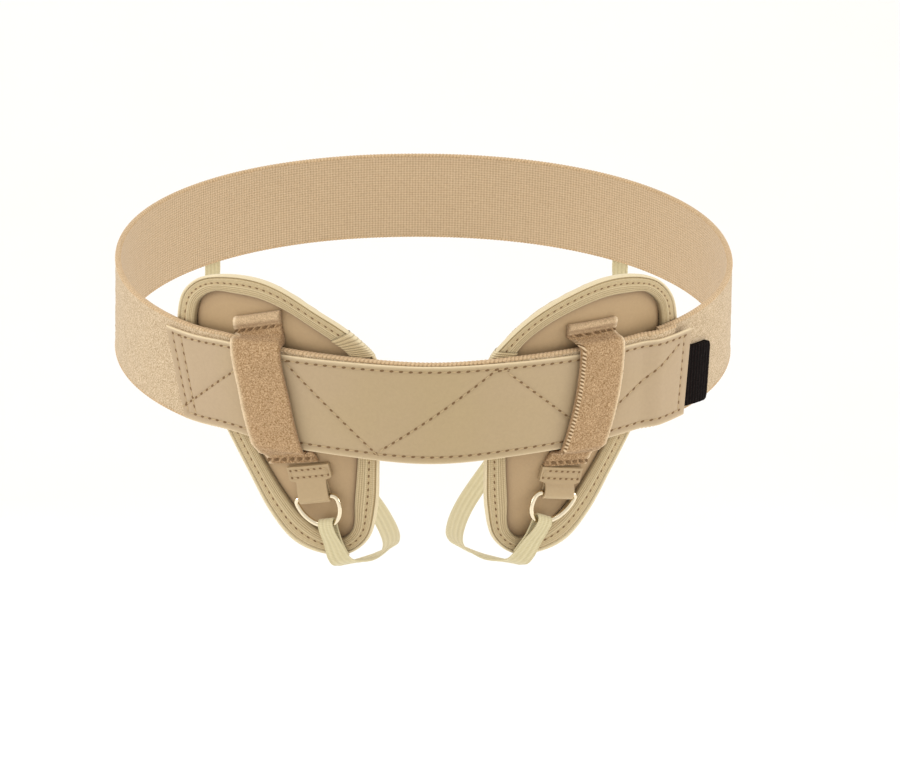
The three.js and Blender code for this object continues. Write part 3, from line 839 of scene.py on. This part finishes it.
# %% The two outlines
PADS_APART, PAD_WIDTH, PAD_ABOVE, PAD_BELOW = 49.6, 104, 30.3, 56
PAD_OUTLINE = [
    (1.0, 0.71, 0.896, 0.72),
    (0.985, 0.83, 0.889, 0.833),
    (0.882, 0.927, 0.8, 0.901),
    (0.723, 0.983, 0.685, 0.921),
    (0.55, 1.0, 0.55, 0.928),
    (0.377, 0.972, 0.406, 0.907),
    (0.204, 0.906, 0.271, 0.864),
    (0.07, 0.815, 0.165, 0.803),
    (0.012, 0.755, 0.117, 0.74),
    (0.0, 0.595, 0.1, 0.595),
    (0.0, 0.375, 0.1, 0.375),
    (0.008, 0.19, 0.113, 0.213),
    (0.05, 0.07, 0.123, 0.102),
    (0.15, 0.006, 0.175, 0.062),
    (0.283, 0.004, 0.262, 0.08),
    (0.4, 0.038, 0.362, 0.133),
    (0.512, 0.132, 0.449, 0.21),
    (0.627, 0.279, 0.56, 0.335),
    (0.757, 0.438, 0.652, 0.456),
    (0.887, 0.581, 0.786, 0.595),
]
PAD_LOW = -HALF_BAND - PAD_BELOW
PAD_TALL = PAD_ABOVE + BAND_WIDTH + PAD_BELOW


def on_pad(shares):
    return np.array([PADS_APART / 2, PAD_LOW]) + np.array(shares) * [PAD_WIDTH, PAD_TALL]


rim_points = on_pad([row[:2] for row in PAD_OUTLINE])
sunk_points = on_pad([row[2:] for row in PAD_OUTLINE])
pad_middle = on_pad((0.42, 0.56))


def pad_place(share, from_rim):
    """0 is on the rim, 1 on the edge of the sunk leather and 2 in the pad's middle."""
    rim = smooth_line(rim_points, share, True)
    edge = smooth_line(sunk_points, share, True)
    near, far = np.minimum(from_rim, 1)[:, None], np.clip(from_rim - 1, 0, 1)[:, None]
    return (rim + (edge - rim) * near) * (1 - far) + pad_middle * far


print("pad", PAD_WIDTH, "by", PAD_TALL, "mm")

# %% [markdown]
# The two pads aren't quite alike. On the real belt the left one is pulled in at its upper inner
# corner, where the tape is gathered, and its upper outer corner reaches further out and up. The right
# one's top is a little higher. So both start from one outline, and each layer is pulled into its own
# pad's form while it is still flat.

# %% Carry a profile round the pad
TAPE_LENGTH, TAPE_WIDTH = 0.4, 0.012


def pad_layer(name, profile, columns=300, first=0.0, last=1.0, pleats=0):
    """profile rows are (from rim, out, painted shade, painted highlight). The layer stays flat on the
    table.
    """
    layer = plain_grid(name, columns, len(profile) - 1)
    profile = np.array([(*row, *[0] * (4 - len(row))) for row in profile], float)
    walked_round, across = corners(layer)[:, 0] + 0.5, corners(layer)[:, 1] + 0.5
    row = np.rint(across * (len(profile) - 1)).astype(int)
    from_rim, out, painted_shade, pale = profile[row].T
    share = first + (last - first) * walked_round
    fold = np.abs(np.sin(np.pi * pleats * walked_round))
    put(layer, np.column_stack([pad_place(share, from_rim), out + 0.5 * fold]))
    # painted shade from the profile, and painted shade in the folds between pleats
    mark(layer, np.maximum(painted_shade, 0.8 * (1 - fold) ** 3 * (pleats > 0)))
    mark(layer, pale, "pale")
    set_cut(layer, np.column_stack([share * TAPE_LENGTH, from_rim * TAPE_WIDTH]))
    if last - first == 1:
        close_up(layer)
    return layer


def pad_form(along, up, side):
    """Where a place on the flat pad ends up on the right pad (side 1) or on the left one (side -1)."""
    across = (along - PADS_APART / 2) / PAD_WIDTH
    high = ease(up, 18, 34)
    if side > 0:
        return along, up + 1.3 * ease(across, 0.35, 0.8) * high
    raised = 2.8 * ease(across, 0.45, 0.98) - 3.2 * hump(across - 0.27, 0.16) - 0.1
    return along + 3.2 * ease(across, 0.7, 1) * ease(up, 8, 24), up + raised * high


def wear(piece, side):
    flat = corners(piece)
    put_on_side(piece, on_hips(*pad_form(flat[:, 0], flat[:, 1], side), flat[:, 2]), side)


SIDES = ((1, "right"), (-1, "left"))
print("the pads' tops are", [round(float(pad_form(100, 55, side)[1]), 1) for side in (1, -1)], "mm up")

# %% The binding's profile, from inside the skirt over the piping to the sunk edge
# the third number is painted shade in the dips beside the piping and ribs and at the sunk edge, the
# fourth painted highlight on the skirt, the piping and the crests
piping = [
    (0.045 + 0.07 * math.cos(a), -1.1 + 0.8 * math.sin(a), 0.0, 0.7)
    for a in np.radians([215, 180, 145, 110, 80, 50, 20, -15])
]
ribs = []
for start in (0.64, 0.735, 0.83):
    ribs += [(start, -0.98, 0.3), (start + 0.025, -0.72, 0)]
    ribs += [(start + 0.05, -0.6, 0, 0.2), (start + 0.075, -0.72, 0)]
binding_profile = [
    (0.42, -6.6),
    (0.36, -6.9),
    (0.28, -6.5),
    (0.16, -5.3, 0, 0.3),
    (0.06, -3.9, 0, 0.6),
    (-0.01, -2.4, 0, 0.7),
    *piping,
    (0.135, -1.45, 0.4),
    (0.165, -1.05, 0.2),
    (0.21, -0.72, 0),
    (0.24, -0.7, 0, 0.3),
    (0.27, -0.9, 0.2),
    (0.3, -0.72, 0),
    (0.37, -0.75, 0.05),
    (0.45, -1.05, 0.3),
    (0.52, -0.75, 0.05),
    (0.58, -0.68, 0, 0.2),
    *ribs,
    (0.93, -1.15, 0.3),
    (0.96, -1.2, 0.2),
    (0.985, -1.8, 0.6),
    (1.0, -3.1, 1.0),
    (0.92, -2.6),
    (0.45, -2.6),
    (0.42, -3.6),
    (0.42, -6.6),
]
for side, name in SIDES:
    binding = pad_layer("pad_binding_" + name + "_tape", binding_profile, 320)
    wear(binding, side)
    done(binding, binding_tape, "pad_binding_" + name, 75)

# %% The sunk leather
# the third number is a painted shadow along the sunk leather's outer edge
sunk = [(2, -4.4), (1.5, -4.4), (1.0, -4.4), (0.985, -4.3, 1), (0.985, -3.6, 1), (1.0, -3.3, 1)]
sunk += [(1.02, -3.22, 0.8), (1.05, -3.2, 0.3), (1.1, -3.2, 0.05), (1.2, -3.2)]
sunk += [(1.4, -3.15), (1.7, -3.15), (2, -3.15)]
for side, name in SIDES:
    pad_panel = pad_layer("pad_panel_" + name + "_leather", sunk, 240)
    wear(pad_panel, side)
    done(pad_panel, pad_leather, "pad_panel_" + name, 60)

# %% The binding's stitches
binding_row = pad_place(np.linspace(0, 1, 241), np.full(241, 0.45))


def pad_on_hips(side):
    return lambda along, up, out: on_hips(*pad_form(along, up, side), out)


for side, name in SIDES:
    row_name = "pad_binding_" + name + "_stitching"
    sew(row_name, "binding", [binding_row], pad_on_hips(side), -0.98, side)

# %% [markdown]
# At each pad's upper inner corner the tape's end laps over its start and is gathered into pleats. The
# left pad shows all of it, and on the right pad only its start looks out above the belt.

# %% The gathers
# the third number is painted shade at the sunk edge, the fourth painted highlight on the lapped outer
# edge
lap = [(0.3, -6.2), (0.1, -5.0), (-0.02, -3.2, 0, 0.5), (-0.06, -1.6, 0, 0.8), (0.0, -0.45, 0, 0.6)]
lap += [(0.1, -0.2, 0, 0.2), (0.3, -0.1), (0.5, -0.1), (0.7, -0.1), (0.88, -0.25)]
lap += [(0.98, -0.7, 0.4), (1.0, -2.6, 1)]
GATHERS = ((0.372, 0.41, 6), (0.322, 0.385, 9))
for (side, name), (first, last, pleats) in zip(SIDES, GATHERS):
    gathers = pad_layer("pad_binding_" + name + "_gathers", lap, 10 * pleats, first, last, pleats)
    wear(gathers, side)
    done(gathers, binding_tape)

# %% [markdown]
# ### The foam body
# The foam bulges towards the body. It starts a little flatter than it ends, is remeshed into even
# cells, and then a short cloth simulation with air pressure inside swells it. How far it may swell is
# capped, and its front face, under the leather, stays where it is.

# %% Swell the cushion
FOAM_FRONT = -4.75
SWELL_FRAMES, SWELL_PRESSURE, SWELL_SHARES = 20, 4, [0.3, 0.3, 1]
foam = [(2, -13.2), (1.4, -13.2), (0.85, -12.6), (0.48, -11.0), (0.32, -8.8), (0.29, -7.4)]
foam += [(0.29, -6.2)] + [(from_rim, FOAM_FRONT) for from_rim in (0.36, 1.02, 1.5, 2)]


def swell(piece, cap):
    """Blows a piece up with air pressure, by no more than the cap, behind its front face."""
    before = corners(piece)
    cloth = piece.modifiers.new("Swell", "CLOTH")
    cloth.settings.use_pressure = True
    cloth.settings.uniform_pressure_force = SWELL_PRESSURE
    cloth.settings.effector_weights.gravity = 0
    for step in range(1, SWELL_FRAMES + 1):
        bpy.context.scene.frame_set(step)
    choose(piece)
    bpy.ops.object.modifier_apply(modifier=cloth.name)
    bpy.context.scene.frame_set(1)
    move = (corners(piece) - before) * SWELL_SHARES
    far = np.linalg.norm(move, axis=1, keepdims=True)
    free = ease(-before[:, 2:], 7.2, 9.5)
    put(piece, before + move * np.minimum(1, cap * free / np.maximum(far, 1e-6)))
    print("swelled by", round(float(far.max()), 1), "mm before the cap")


cushion = pad_layer("pad_cushion_right_cover", foam, 120)
shape_with(cushion, "REMESH", mode="VOXEL", voxel_size=0.003)
shape_with(cushion, "SMOOTH", factor=0.5, iterations=3)
swell(cushion, 4)
shape_with(cushion, "SUBSURF", levels=1, render_levels=1)
if not cushion.data.uv_layers:
    cushion.data.uv_layers.new(name="cut")
keep_cut(cushion)
flat = corners(cushion)
flat[:, 2] = np.minimum(flat[:, 2], FOAM_FRONT + 0.05)
put(cushion, flat)
for (side, name), cover in zip(SIDES, (cushion, copy_of(cushion, "pad_cushion_left_cover"))):
    wear(cover, side)
    done(cover, cover_knit, "pad_cushion_" + name, 60)

# %% [markdown]
# ## The belt loops
# Each pad hangs in a loop of plush elastic that is sewn to it above and below the belt. The strip is
# cut flat, and its length follows a path: flat on the sunk leather at each end, up a rounded shoulder
# and across the belt. Rows of brown stitches pull both ends down into a hem, and the right loop's
# inner edge is overcast with slanting stitches.

# %% The loops' path
LOOP_WIDTH, LOOP_THICKNESS, LOOP_AT, LOOP_LEAN, LOOP_BOW = 24.5, 1.8, 77, 0.17, 2.4
SHOULDER, FOOT_IN, LOOP_FLOOR, LOOP_ROOF = 2.8, 2.5, -2.9, 4.2


def loop_line(sewn_top, sewn_bottom):
    climb = [(1.0, 0.0), (0.45, 0.14), (0.2, 0.5), (0.12, 0.8), (0.0, 1.0)]
    slope = [(1.0, 0.0), (0.72, 0.16), (0.35, 0.6), (0.12, 0.88), (0.0, 1.0)]
    deep = LOOP_ROOF - LOOP_FLOOR
    path = [(-HALF_BAND - SHOULDER - sewn_bottom, LOOP_FLOOR)]
    path += [(-HALF_BAND - 2.6 * SHOULDER, LOOP_FLOOR)]
    low, high = -HALF_BAND - GAP, HALF_BAND + GAP
    path += [(low - past * 2 * SHOULDER, LOOP_FLOOR + deep * rise) for past, rise in slope]
    path += [(high + past * SHOULDER, LOOP_FLOOR + deep * rise) for past, rise in climb[::-1]]
    path += [(HALF_BAND + SHOULDER + 2, LOOP_FLOOR), (HALF_BAND + SHOULDER + sewn_top, LOOP_FLOOR)]
    return smooth_line(path, np.linspace(0, 1, 700))


def on_path(line, run, stand):
    """(up, out) of places that lie a distance along a path and stand off it."""
    where = np.clip(run, 0, distances(line)[-1])
    middle, way = at_distance(line, where), heading_at(line, where, 0.5)
    return middle[:, 0] - way[:, 1] * stand, middle[:, 1] + way[:, 0] * stand


print("loop", LOOP_WIDTH, "by", round(distances(loop_line(9, 8))[-1], 1), "mm")

# %% [markdown]
# The loops were sewn by hand and eye, and no two ends are alike. The right loop's upper hem is square
# to the belt and wider than the loop, and the left one's is turned and slipped outwards. So each loop
# gets its own numbers.

# %% Each loop's own numbers


class Loop:
    def __init__(self, top, bottom, foot_turn, hem_turn, hem_out, hem_wider, slim, hems):
        self.line = loop_line(top, bottom)
        self.length = distances(self.line)[-1]
        self.bottom = HALF_BAND + SHOULDER + bottom
        self.foot_turn, self.hem_turn, self.hem_out = foot_turn, hem_turn, hem_out
        self.hem_wider, self.slim = hem_wider, slim
        edge = LOOP_WIDTH / 2 - 0.8
        heights = [self.length / 2 - h if h > 0 else -self.length / 2 - h for h in hems]
        self.hems = [[(-edge, height), (edge, height)] for height in heights]
        self.hem_top = self.length / 2 - hems[0]

    def place(self, across, run, stand):
        up, out = on_path(self.line, run + self.length / 2, stand)
        top = ease(up, HALF_BAND + 1, HALF_BAND + SHOULDER + 1.5)
        foot = ease(-up, HALF_BAND, self.bottom)
        across = across * (1 + (self.slim - 1) * (across > 0) + self.hem_wider * top * (across < 0))
        along = LOOP_AT + LOOP_LEAN * up - LOOP_BOW * (up / self.bottom) ** 2 + across
        along += self.hem_out * (0.5 * top + 0.5 * ease(up, 0, HALF_BAND)) - FOOT_IN * foot
        on_foot = ease(-up, HALF_BAND + SHOULDER - 1.5, HALF_BAND + SHOULDER + 1.5)
        up = up - across * (self.hem_turn * top + self.foot_turn * on_foot)
        return on_hips(along, up, out)


LOOPS = {
    "right": Loop(7.6, 9.4, 0.11, 0.02, -1.2, 0.3, 0.86, (6.0, 3.4, -1.8)),
    "left": Loop(10.4, 7.6, 0.21, 0.33, 3.7, 0.0, 1.05, (7.2, 4.9, -2.0)),
}
print({name: round(loop.length, 1) for name, loop in LOOPS.items()})

# %% The loops
for side, name in SIDES:
    own = LOOPS[name]
    loop = cut_flat("belt_loop_" + name + "_elastic", LOOP_WIDTH, own.length, 0.6)
    thicken(loop, LOOP_THICKNESS, 0.6)
    keep_cut(loop)
    flat = corners(loop)
    near = off_rows(flat, own.hems)
    face = flat[:, 2] > 1
    top_hem = ease(flat[:, 1], own.hem_top, own.hem_top + 2.5)
    rolled = np.sqrt(np.clip((own.length / 2 + 0.4 - flat[:, 1]) / 2.5, 0, 1))
    flat[face, 2] += (1.1 * top_hem * rolled - 0.7 * hump(near, 1.1))[face]
    flat[face, 2] += pile_noise.normal(0, 0.1, face.sum())
    # painted shade along the hem rows and a painted shadow down the inner edge; painted highlight on the
    # outer edge and the rolled top hem
    outer = np.exp(-np.maximum(0, LOOP_WIDTH / 2 - 0.9 - flat[:, 0]) / 0.6)
    inner = np.exp(-np.maximum(0, LOOP_WIDTH / 2 - 0.2 + flat[:, 0]) / 0.4)
    mark(loop, np.maximum(np.where(face, 0.9 * hump(near, 0.9), 0), 0.8 * inner))
    mark(loop, np.clip(0.95 * outer + 0.3 * top_hem, 0, 1), "pale")
    put_on_side(loop, own.place(*flat.T), side)
    done(loop, loop_pile, "belt_loop_" + name, 70)

# %% Their hem stitches and overcast edge
for side, name in SIDES:
    own = LOOPS[name]
    row_name = "belt_loop_" + name + "_hems"
    sew(row_name, "hem", own.hems, own.place, LOOP_THICKNESS - 0.42, side)

own = LOOPS["right"]
edge = -LOOP_WIDTH / 2 + 1.6
overcast = [[(edge, -own.length / 2 + 12), (edge, own.length / 2 - 9.5)]]
sew("belt_loop_right_overcast", "overcast", overcast, own.place, LOOP_THICKNESS + 0.02)

# %% [markdown]
# ## The ring tabs
# Each ring hangs in a folded leather tab. The leather goes down behind the ring's bar, round it and
# up the front, and both layers are sewn to the pad with a box of stitches. It is one flat strip laid
# on a path again, wider where it is sewn.

# %% Ring tabs
NECK_WIDTH, TAB_WIDE, WIRE = 15, 21.4, 2.3
EYE = WIRE / 2 + GAP
TAB_FLOOR = LOOP_FLOOR
BAR_OUT = TAB_FLOOR + LEATHER + EYE
BOX_SIDE, BOX_TOP, BOX_LOW = 9.2, -2.0, -5.8


class Tab:
    """One tab: where its top edge is, how it turns, how much is sewn, and where the ring's bar lies."""

    def __init__(self, along, top, turn, sewn, bar_up, skew):
        self.along, self.top, self.turn, self.sewn = along, top, math.radians(turn), sewn
        self.bar_up, self.skew = bar_up, skew
        level = TAB_FLOOR + LEATHER
        path = [(0, level - 0.02), (-4, level - 0.02), (-9, level - 0.02)]
        round_it = np.radians([270, 240, 210, 180, 150, 120, 90])
        path += [(bar_up + EYE * math.cos(a), BAR_OUT + EYE * math.sin(a)) for a in round_it]
        path += [(bar_up + 2.4, BAR_OUT + EYE - 0.5), (-sewn, level + 0.25), (-6, level), (0, level)]
        self.line = smooth_line(path, np.linspace(0, 1, 600))

    def place(self, across, up, out):
        cos, sin = math.cos(self.turn), math.sin(self.turn)
        return on_hips(self.along + across * cos + up * sin, self.top + up * cos - across * sin, out)


TABS = {"right": Tab(63.6, -37.7, 12, 8.3, -13.2, 0.42), "left": Tab(59.3, -35.3, 14, 8.0, -16.5, 0.27)}
TAB_ROWS = [[(-BOX_SIDE, up), (BOX_SIDE, up)] for up in (BOX_TOP, BOX_LOW)]
TAB_ROWS += [[(across, BOX_TOP), (across, BOX_LOW)] for across in (-BOX_SIDE, BOX_SIDE)]
for side, name in SIDES:
    own = TABS[name]
    tab_length = distances(own.line)[-1]
    tab = plain_grid("ring_tab_" + name + "_leather", 30, 60)
    put(tab, corners(tab) * [TAB_WIDE, tab_length, 1])
    thicken(tab, LEATHER, 0.3)
    keep_cut(tab)
    flat = corners(tab)
    from_end = flat[:, 1] - tab_length / 2
    near = off_rows(np.column_stack([flat[:, 0], from_end]), TAB_ROWS)
    face = flat[:, 2] > 0.7
    flat[face, 2] -= (0.35 * hump(near, 1.0))[face]
    # painted shade along the box of stitches, and a painted highlight where the leather rounds the
    # ring's bar
    mark(tab, np.where(face, 0.5 * hump(near, 0.9), 0))
    mark(tab, 0.5 * hump(from_end - own.bar_up + EYE + 0.9, 0.9), "pale")
    up, out = on_path(own.line, flat[:, 1] + tab_length / 2, flat[:, 2])
    wide = (NECK_WIDTH + (TAB_WIDE - NECK_WIDTH) * ease(up, -own.sewn, -own.sewn + 1)) / TAB_WIDE
    put_on_side(tab, own.place(flat[:, 0] * wide, up, out), side)
    done(tab, tab_leather, "ring_tab_" + name)

# %% Their box of stitches
for side, name in SIDES:
    row_name = "ring_tab_" + name + "_stitching"
    sew(row_name, "box", TAB_ROWS, TABS[name].place, TAB_FLOOR + 2 * LEATHER - 0.33, side)

# %% [markdown]
# ## The D-rings
# A D-ring is bent wire: a straight bar, two tight corners and a round bow. A torus is its first shape,
# because its cross-section is already round, and its middle line is then moved onto the D. The strap
# pulls each bow towards the middle of the belt, so the D leans.

# %% D-rings
RING_HALF = NECK_WIDTH / 2 + 1.5 + WIRE / 2
RING_REACH, RING_CORNER, RING_LIFT = 13.6, 2, 2.9
corner = np.linspace(math.pi / 2, math.pi, 12)
bow = np.linspace(math.pi, 2 * math.pi, 60)
straight, deep = RING_HALF - RING_CORNER, RING_REACH - RING_CORNER
d_line = [(straight, 0), (-straight, 0)]
d_line += [(RING_CORNER * math.cos(a) - straight, RING_CORNER * (math.sin(a) - 1)) for a in corner]
d_line += [(RING_HALF * math.cos(a), deep * math.sin(a) - RING_CORNER) for a in bow]
d_line += [(-x, y) for x, y in d_line[2:14][::-1]]
d_line = np.array([*d_line, d_line[0]])


def ring_place(own, x, y, z):
    return own.place(x, own.bar_up + y, BAR_OUT + z - RING_LIFT * y / RING_REACH)


def leaning(own):
    return d_line + np.outer(np.minimum(0, d_line[:, 1]), [own.skew, 0])


for side, name in SIDES:
    own = TABS[name]
    deselect()
    bpy.ops.mesh.primitive_torus_add(
        major_radius=RING_HALF * MM, minor_radius=WIRE / 2 * MM, major_segments=96, minor_segments=16
    )
    ring = bpy.context.object
    ring.name = ring.data.name = "d_ring_" + name + "_wire"
    flat = corners(ring)
    line = leaning(own)
    turned = np.mod(np.arctan2(flat[:, 1], flat[:, 0]) / (2 * np.pi), 1)
    where = turned * distances(line)[-1]
    from_line = np.hypot(flat[:, 0], flat[:, 1]) - RING_HALF
    middle, run = at_distance(line, where), heading_at(line, where, 0.2)
    across, up = middle[:, 0] + run[:, 1] * from_line, middle[:, 1] - run[:, 0] * from_line
    put(ring, ring_place(own, across, up, flat[:, 2]) * [side, 1, 1])
    close_up(ring)
    done(ring, nickel_plate, "d_ring_" + name, 80)

# %% [markdown]
# ## The leg straps
# Each leg strap is narrow ribbed elastic. It runs up to the ring, turns round the wire and is sewn
# back on itself, and then runs over the pad's tip, between the legs and up to the back of the band.
# A ribbon like this is a flat strip whose length follows a line, with a second line that says which
# way its face looks.

# %% The strap's line
STRAP_WIDTH, STRAP_AT_RING, STRAP_THICKNESS, STRAP_DOUBLED = 10, 7.4, 1.2, 20
STRAP_RIB, STRAP_FACES = 2.5, STRAP_THICKNESS - 0.25
BACK_TAB_AT, BACK_TAB_THICKNESS = 116, 2
BACK_ALONG = GIRTH / 2 - BACK_TAB_AT
BACK_OUT = ON_BAND + BACK_TAB_THICKNESS + GAP + STRAP_THICKNESS / 2
LAYER_STAND = (STRAP_THICKNESS + GAP) / 2
TIP_ALONG = PADS_APART / 2 + 18.4
TIP_OUT = GAP + LAYER_STAND + STRAP_THICKNESS / 2
DROP = 6.5 - on_hips(TIP_ALONG, PAD_LOW, 0)[2]
THIGH_MIDDLE = 17.5


def outward(along, up):
    way = on_hips(along, up, 1) - on_hips(along, up, 0)
    return way / np.linalg.norm(way)


# Places in shares of the hips' half sizes and of the drop, and the way that the face looks there
FREE_ROUTE = [
    (0.095, -0.58, -0.98, 0.0, -0.25, -1.0),
    (0.035, -0.36, -0.985, -0.4, 0.0, -0.9),
    (0.0, -0.08, -1.01, -0.5, 0.0, -0.86),
    (0.0, 0.19, -1.0, -0.5, 0.0, -0.86),
    (0.05, 0.48, -0.93, -0.4, 0.35, -0.85),
    (0.165, 0.71, -0.78, -0.2, 0.7, -0.6),
    (0.31, 0.83, -0.56, 0.0, 0.95, -0.3),
    (0.45, 0.83, -0.3, 0.25, 0.95, -0.1),
]
ring_face = outward(60, PAD_LOW)
back_face = outward(BACK_ALONG, 0)
TURN_RADIUS = WIRE / 2 + 1.1 + STRAP_THICKNESS / 2
TURN_LENGTH = math.pi * TURN_RADIUS


class Strap:
    def __init__(self, own):
        bow = own.bar_up - RING_REACH
        bow_along = own.along + bow * math.sin(own.turn) - own.skew * RING_REACH
        bow_up = own.top + bow * math.cos(own.turn)
        next_along = bow_along + 0.3 * (TIP_ALONG - bow_along)
        next_up = bow_up + 0.3 * (PAD_LOW - bow_up)
        middle, half_hips = np.array([THIGH_MIDDLE, 0, 0]), [HIP_WIDTH / 2, HIP_DEPTH / 2, DROP]
        free = [(middle + np.multiply(stop[:3], half_hips), stop[3:]) for stop in FREE_ROUTE]
        far_under, near_under = -HALF_BAND - 2 * STRAP_WIDTH, -HALF_BAND - STRAP_WIDTH / 2
        stops = [
            (ring_place(own, -own.skew * RING_REACH, -RING_REACH, 0), ring_face),
            (on_hips(next_along, next_up, BAR_OUT + RING_LIFT), ring_face),
            (on_hips(TIP_ALONG, PAD_LOW, TIP_OUT), (0.1, -0.85, -0.45)),
            (on_hips(TIP_ALONG - 2.15, PAD_LOW - 3.4, -GAP - STRAP_THICKNESS), (0.05, -0.6, -0.8)),
            *free,
            (on_hips(BACK_ALONG, far_under, BACK_OUT - STRAP_THICKNESS), outward(BACK_ALONG, far_under)),
            (on_hips(BACK_ALONG, near_under, BACK_OUT), outward(BACK_ALONG, near_under)),
            (on_hips(BACK_ALONG, -7.5, BACK_OUT), back_face),
            (on_hips(BACK_ALONG, 12, BACK_OUT), back_face),
        ]
        even = np.linspace(0, 1, 1600)
        self.line = smooth_line([at for at, looks in stops], even)
        self.looks = smooth_line([looks for at, looks in stops], even)
        self.gone = distances(self.line)
        self.run = np.gradient(self.line, axis=0)
        self.length = STRAP_DOUBLED + TURN_LENGTH + self.gone[-1]

    def along(self, values, where):
        return np.stack([np.interp(where, self.gone, values[:, k]) for k in range(3)], -1)

    def place(self, where, across, stand):
        """where starts at the sewn end under the strap, goes up to the ring, round it and away."""
        under, turned = where < STRAP_DOUBLED, where < STRAP_DOUBLED + TURN_LENGTH
        past = where - STRAP_DOUBLED
        distance = np.where(under, -past, np.where(turned, 0, past - TURN_LENGTH))
        lean = np.where(under, np.pi, np.where(turned, np.pi * (1 - past / TURN_LENGTH), 0))[:, None]
        run = self.along(self.run, distance)
        run /= np.linalg.norm(run, axis=1, keepdims=True)
        looks = self.along(self.looks, distance)
        looks -= run * (looks * run).sum(1, keepdims=True)
        looks /= np.linalg.norm(looks, axis=1, keepdims=True)
        normal = looks * np.cos(lean) - run * np.sin(lean)
        height = (TURN_RADIUS + (LAYER_STAND - TURN_RADIUS) * ease(distance, 0, 12) + stand)[:, None]
        width = STRAP_AT_RING + (STRAP_WIDTH - STRAP_AT_RING) * ease(distance, 2, 18)
        sideways = np.cross(run, looks) * (across * width / STRAP_WIDTH)[:, None]
        return self.along(self.line, distance) - sideways + normal * height


# %% Lay the ribbons on them
for side, name in SIDES:
    own = Strap(TABS[name])
    strap = cut_flat("leg_strap_" + name + "_elastic", own.length, STRAP_WIDTH, 0.9)
    thicken(strap, STRAP_FACES, 0.3)
    keep_cut(strap)
    flat = corners(strap)
    rib = np.cos(2 * np.pi * flat[:, 1] / STRAP_RIB)
    flat[:, 2] += np.where(flat[:, 2] > 0.45, 1, -1) * 0.05 * rib
    # painted shade in the troughs between the ribs
    mark(strap, 0.2 * np.clip(-rib, 0, 1))
    stand = flat[:, 2] - STRAP_FACES / 2
    put_on_side(strap, own.place(flat[:, 0] + own.length / 2, flat[:, 1], stand), side)
    done(strap, narrow_elastic, "leg_strap_" + name, 60)
    print(name, "strap", round(own.length), "mm long")

# %% [markdown]
# ## The hook tabs on the back
# Each strap ends on a beige hook tab that grips the plush. It is a small plain rectangle.

# %% Back tabs
BACK_TAB_SIZE = (20, 30)
back_tab = cut_flat("back_tab_right_tape", *BACK_TAB_SIZE, 0.8)
thicken(back_tab, BACK_TAB_THICKNESS - 0.1, 0.5)
keep_cut(back_tab)
flat = corners(back_tab)
face = flat[:, 2] > 1.2
flat[face, 2] += pile_noise.normal(0, 0.05, face.sum())
put(back_tab, on_hips(flat[:, 0] + BACK_ALONG, flat[:, 1], flat[:, 2] + ON_BAND))
done(back_tab, beige_hooks, "back_tab_right")
back_tab_left = copy_of(back_tab, "back_tab_left_tape")
put_on_side(back_tab_left, corners(back_tab_left), -1)
done(back_tab_left, beige_hooks, "back_tab_left")

# %% [markdown]
# ## Floor and light
# The belt is shown held up, over a plain pale sheet that curves up behind it, as in a studio. Two
# broad lights stand left and right of it, so its sides are the brightest. A weaker one hangs above it,
# and a pale world fills the rest.

# %% Floor
SHEET, LEVEL_RUN, BEND_RADIUS, SHEET_FRONT, SHEET_DOWN = 9000, 5000, 1500, 3500, 320
floor = plain_grid("floor", 4, 60)
flat = corners(floor)
run = SHEET * (flat[:, 1] + 0.5)
bend = np.clip((run - LEVEL_RUN) / BEND_RADIUS, 0, math.pi / 2)
depth = np.minimum(run, LEVEL_RUN) - SHEET_FRONT + BEND_RADIUS * np.sin(bend)
wall = np.maximum(0, run - LEVEL_RUN - BEND_RADIUS * math.pi / 2)
height = -SHEET_DOWN + BEND_RADIUS * (1 - np.cos(bend)) + wall
put(floor, np.column_stack([flat[:, 0] * SHEET, depth, height]))
floor_paint, tree, shader = new_finish("matt_white_floor")
dust = noise(tree, room_place(tree), 3, 2)
look = {
    "Base Color": blend(tree, dust, colour("#F1F0EE"), colour("#F7F6F4")),
    "Roughness": 0.9,
    "Emission Color": colour("#FFFFFF"),
    "Emission Strength": 0.12,
}
connect(tree, shader, look)
floor.data.materials.append(floor_paint)
choose(floor)
bpy.ops.object.shade_smooth()

# %% Lights
world = bpy.data.worlds.new("pale_room")
world.use_nodes = True
room_light = world.node_tree.nodes["Background"]
connect(world.node_tree, room_light, {"Color": colour("#FFFDFA"), "Strength": 0.9})
bpy.context.scene.world = world
for name, place, aim, watts, size in (
    ("left_softbox", (-1.5, -0.5, 0.5), (72, 0, -72), 8, 0.7),
    ("right_softbox", (1.5, -0.5, 0.5), (72, 0, 72), 8, 0.7),
    ("top_softbox", (-0.2, -0.5, 1.4), (20, 0, -20), 4, 0.6),
):
    turned = [math.radians(angle) for angle in aim]
    bpy.ops.object.light_add(type="AREA", location=place, rotation=turned)
    lamp = bpy.context.object
    lamp.name = name
    lamp.data.energy = watts
    lamp.data.size = size
    print(name, watts, "W")
bpy.context.scene.view_settings.view_transform = "Standard"
